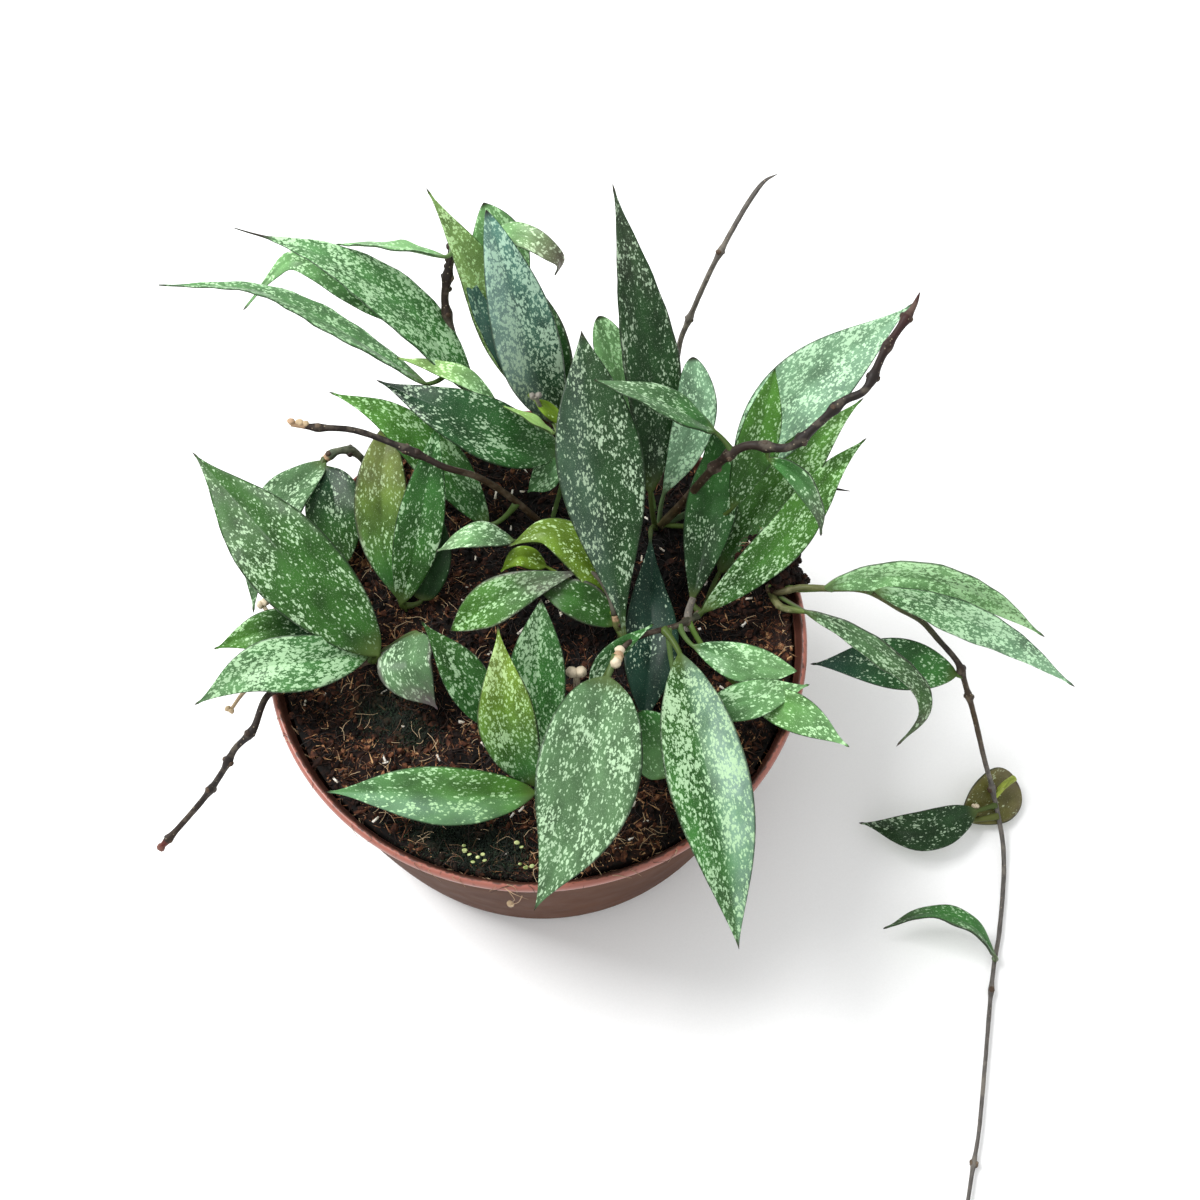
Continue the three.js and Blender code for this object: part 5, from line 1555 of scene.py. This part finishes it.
# %% [markdown]
# ## Spurs, seedlings and husks
# A few small things finish the plant. Flower stalks leave dry, corky spurs, one of them on a stub of its
# own in the middle of the pot. Two thick green leaf stalks bend over beside the trailing stem, and a dark
# twig comes up on the right. They are small stems without leaves, so the same functions make them. Peat
# lies in lumps over the rim on the right. Seedlings with two round leaves have come up in the moss at the
# front, and short threads of coir and a dry husk hang over the rim there.

# %% Spurs, stubs and stalks
SPURS = [
    stem("middle_stub", 1.6, "dark brown cream", "twin", (13, -28, 84), (13, -28, 100), (13, -28, 115)),
    stem("left_spur", 0.9, "dark brown straw", "twin",
         (-98, -19, 104), (-106, -15, 103), (-113, -17, 100), (-119, -23, 97)),
    stem("upper_left_spur", 1.1, "black cream", "twin",
         (-83, -16, 106), (-92, -4, 104), (-99, 7, 104), (-104, 13, 109), (-105, 15, 110)),
    stem("rear_spur", 1.1, "olive dark ash", "twin",
         (15, 91, 112), (14, 80, 124), (11, 73, 136), (8, 74, 142), (6, 75, 149)),
    stem("right_twig", 0.9, "brown black", "point",
         (82, 41, 88), (92, 45, 101), (106, 50, 105), (120, 50, 107), (130, 47, 108)),
    stem("vine_rib", 1.5, "lime", "stump", (190, -52, 11), (195, -48, 13), (200, -45, 12), taper=0),
    stem("vine_scar", 0.8, "cream", "twin", (180, -56, 9), (181, -56, 11)),
    stem("grey_stub", 1.7, "ash grey", "stump", (57, -9, 106), (58, -4, 111), (60, 0, 115)),
    stem("arching_stalk", 1.5, "brown olive olive green", "point",
         (92, 9, 100), (95, 5, 105), (103, 4, 109), (114, 1, 112), (127, 0, 113), (138, -2, 112)),
    stem("sickle_stalk", 1.6, "olive olive green", "point",
         (93, 8, 100), (93, 2, 104), (95, -3, 107), (101, -6, 109), (107, -9, 111)),
]


def loose_wood(shoot):
    """The wood of a small stem that has no buried end."""
    return wood_mesh(shoot, Path(shoot.path))


spur_meshes = []
for shoot in SPURS:
    spur_meshes += [loose_wood(shoot), knob_mesh(shoot, Path(shoot.path), chance)]
place_on_root(joined("corky_spurs", spur_meshes), "stem_bark")

# %% Peat pushed over the rim
SPILL_LUMPS = 170
SPILL_TURN = (4, 14)
SPILL_RADIUS = (93, 107.5)
SPILL_FOOT = 96
SPILL_TOP = 111
SPILL_SIZE = (0.8, 2.6)
SPILL_SLOPE = 0.45
SPILL_START = math.radians(-6)
SPILL_WIDTH = math.radians(14)


def spill_mesh():
    """Lumps of peat heaped over the rim where the trailing stem was pressed in."""
    dice = np.random.default_rng(5)
    rows = []
    for _ in range(SPILL_LUMPS):
        turn = math.radians(dice.uniform(*SPILL_TURN))
        radius = dice.uniform(*SPILL_RADIUS)
        slope = 1 - SPILL_SLOPE * smooth((radius - SPILL_RADIUS[0]) / (SPILL_RADIUS[1] - SPILL_RADIUS[0]))
        rise = smooth((turn - SPILL_START) / SPILL_WIDTH)
        height = SPILL_FOOT + (SPILL_TOP - SPILL_FOOT) * slope * rise * dice.uniform(0.4, 1)
        place = np.array([radius * math.cos(turn), radius * math.sin(turn), height])
        way = unit(dice.uniform(-1, 1, 3))
        rows.append((place, way, dice.uniform(*SPILL_SIZE) * dice.uniform(0.6, 1.0, 3)))
    tint = dice.uniform(0, 0.2, SPILL_LUMPS)
    return set_knobs("spill", rows, peat_finish, {"tint": tint}, dent_width=0.9 * MM, dent_depth=2.4 * MM)


spill = joined("spilled_peat", [spill_mesh()])
spill.data.shade_flat()
place_on_root(spill, "peat")

# %% Seedlings at the front
SEEDLING_PLACES = [
    (-32, -87), (-33, -85), (-29, -91), (-26, -90), (-12, -94), (-10, -95), (-13, -85), (12, -90),
    (10, -88),
]
SEEDLING_HEIGHT = 3.5
SEEDLING_STALK = 0.3
SEED_LEAF = np.array([0.9, 0.65, 0.25])
SEED_LEAF_REACH = 1.2
seedling_finish = dusty_finish("seedling_leaf", "#6f8140", "#c3cb8c", 1.0, 0.5)


def seedling_mesh():
    """Pairs of little round seed leaves, each on a point that says where it faces."""
    rows = []
    for x, y in SEEDLING_PLACES:
        turn = chance.uniform(0, math.pi)
        for way in (0, math.pi):
            out = np.array([math.cos(turn + way), math.sin(turn + way), 0])
            place = np.array([x, y, soil_height(x, y) + SEEDLING_HEIGHT]) + out * SEED_LEAF_REACH
            facing = unit(np.array([0, 0, 1]) - 0.4 * out)
            rows.append((place, facing, chance.uniform(0.8, 1.2) * SEED_LEAF))
    return set_knobs("seedlings", rows, seedling_finish, dent_depth=0.1 * MM)


def seedling_stalk(x, y):
    """A thin stalk that comes straight up out of the peat."""
    top = soil_height(x, y) + SEEDLING_HEIGHT
    heights = (top - 2 * SEEDLING_HEIGHT, top - SEEDLING_HEIGHT / 2, top)
    path = [(x, y, height) for height in heights]
    return loose_wood(stem("seedling_stalk", SEEDLING_STALK, "sage green", "point", *path))


stalks = [seedling_stalk(x, y) for x, y in SEEDLING_PLACES]
place_on_root(joined("seedlings", [seedling_mesh(), *stalks]), "hoya_leaf")

# %% Fibres and a husk on the rim
THREAD_COUNT = 34
THREAD_TURN = (196, 300)
THREAD_SLANT = 0.06
THREAD_RADIUS = (0.12, 0.24)
THREAD_TONES = ["cork", "brown", "straw"]
HUSK_THREADS = [
    [(-19, -103, 100), (-16, -106, 102), (-13, -107, 100), (-11, -107, 97)],
    [(-18, -104, 101), (-16, -106.5, 98), (-16.5, -105.5, 92), (-18, -105, 86)],
    [(-13, -106.5, 100), (-14.5, -107, 95), (-17.5, -105.5, 88), (-17, -105, 85)],
]
HUSK = [(-18, -105, 88), (-17.5, -104.5, 85), (-17, -103.5, 81)]


def rim_thread():
    """A short thread that starts in the peat, lies over the rim and ends just outside it."""
    turn = math.radians(chance.uniform(*THREAD_TURN))
    slant = chance.uniform(-THREAD_SLANT, THREAD_SLANT, 3)
    steps = [(99.5, 93), (102.5, 98), (104.3, chance.uniform(99.5, 101)), (105.6, chance.uniform(94, 99.5))]
    reached = 4 if chance.random() < 0.5 else 3
    turns = turn + np.cumsum([0, *slant])
    path = [(r * math.cos(a), r * math.sin(a), height) for (r, height), a in zip(steps, turns)]
    return path[:reached]


rim_meshes = []
for path in HUSK_THREADS + [rim_thread() for _ in range(THREAD_COUNT)]:
    radius = chance.uniform(*THREAD_RADIUS)
    rim_meshes.append(loose_wood(stem("thread", radius, chance.choice(THREAD_TONES), "point", *path)))
rim_meshes.append(loose_wood(stem("husk", 1.3, "straw cork", "point", *HUSK, nodes=(0.5,))))
place_on_root(joined("rim_fibres", rim_meshes), "peat")
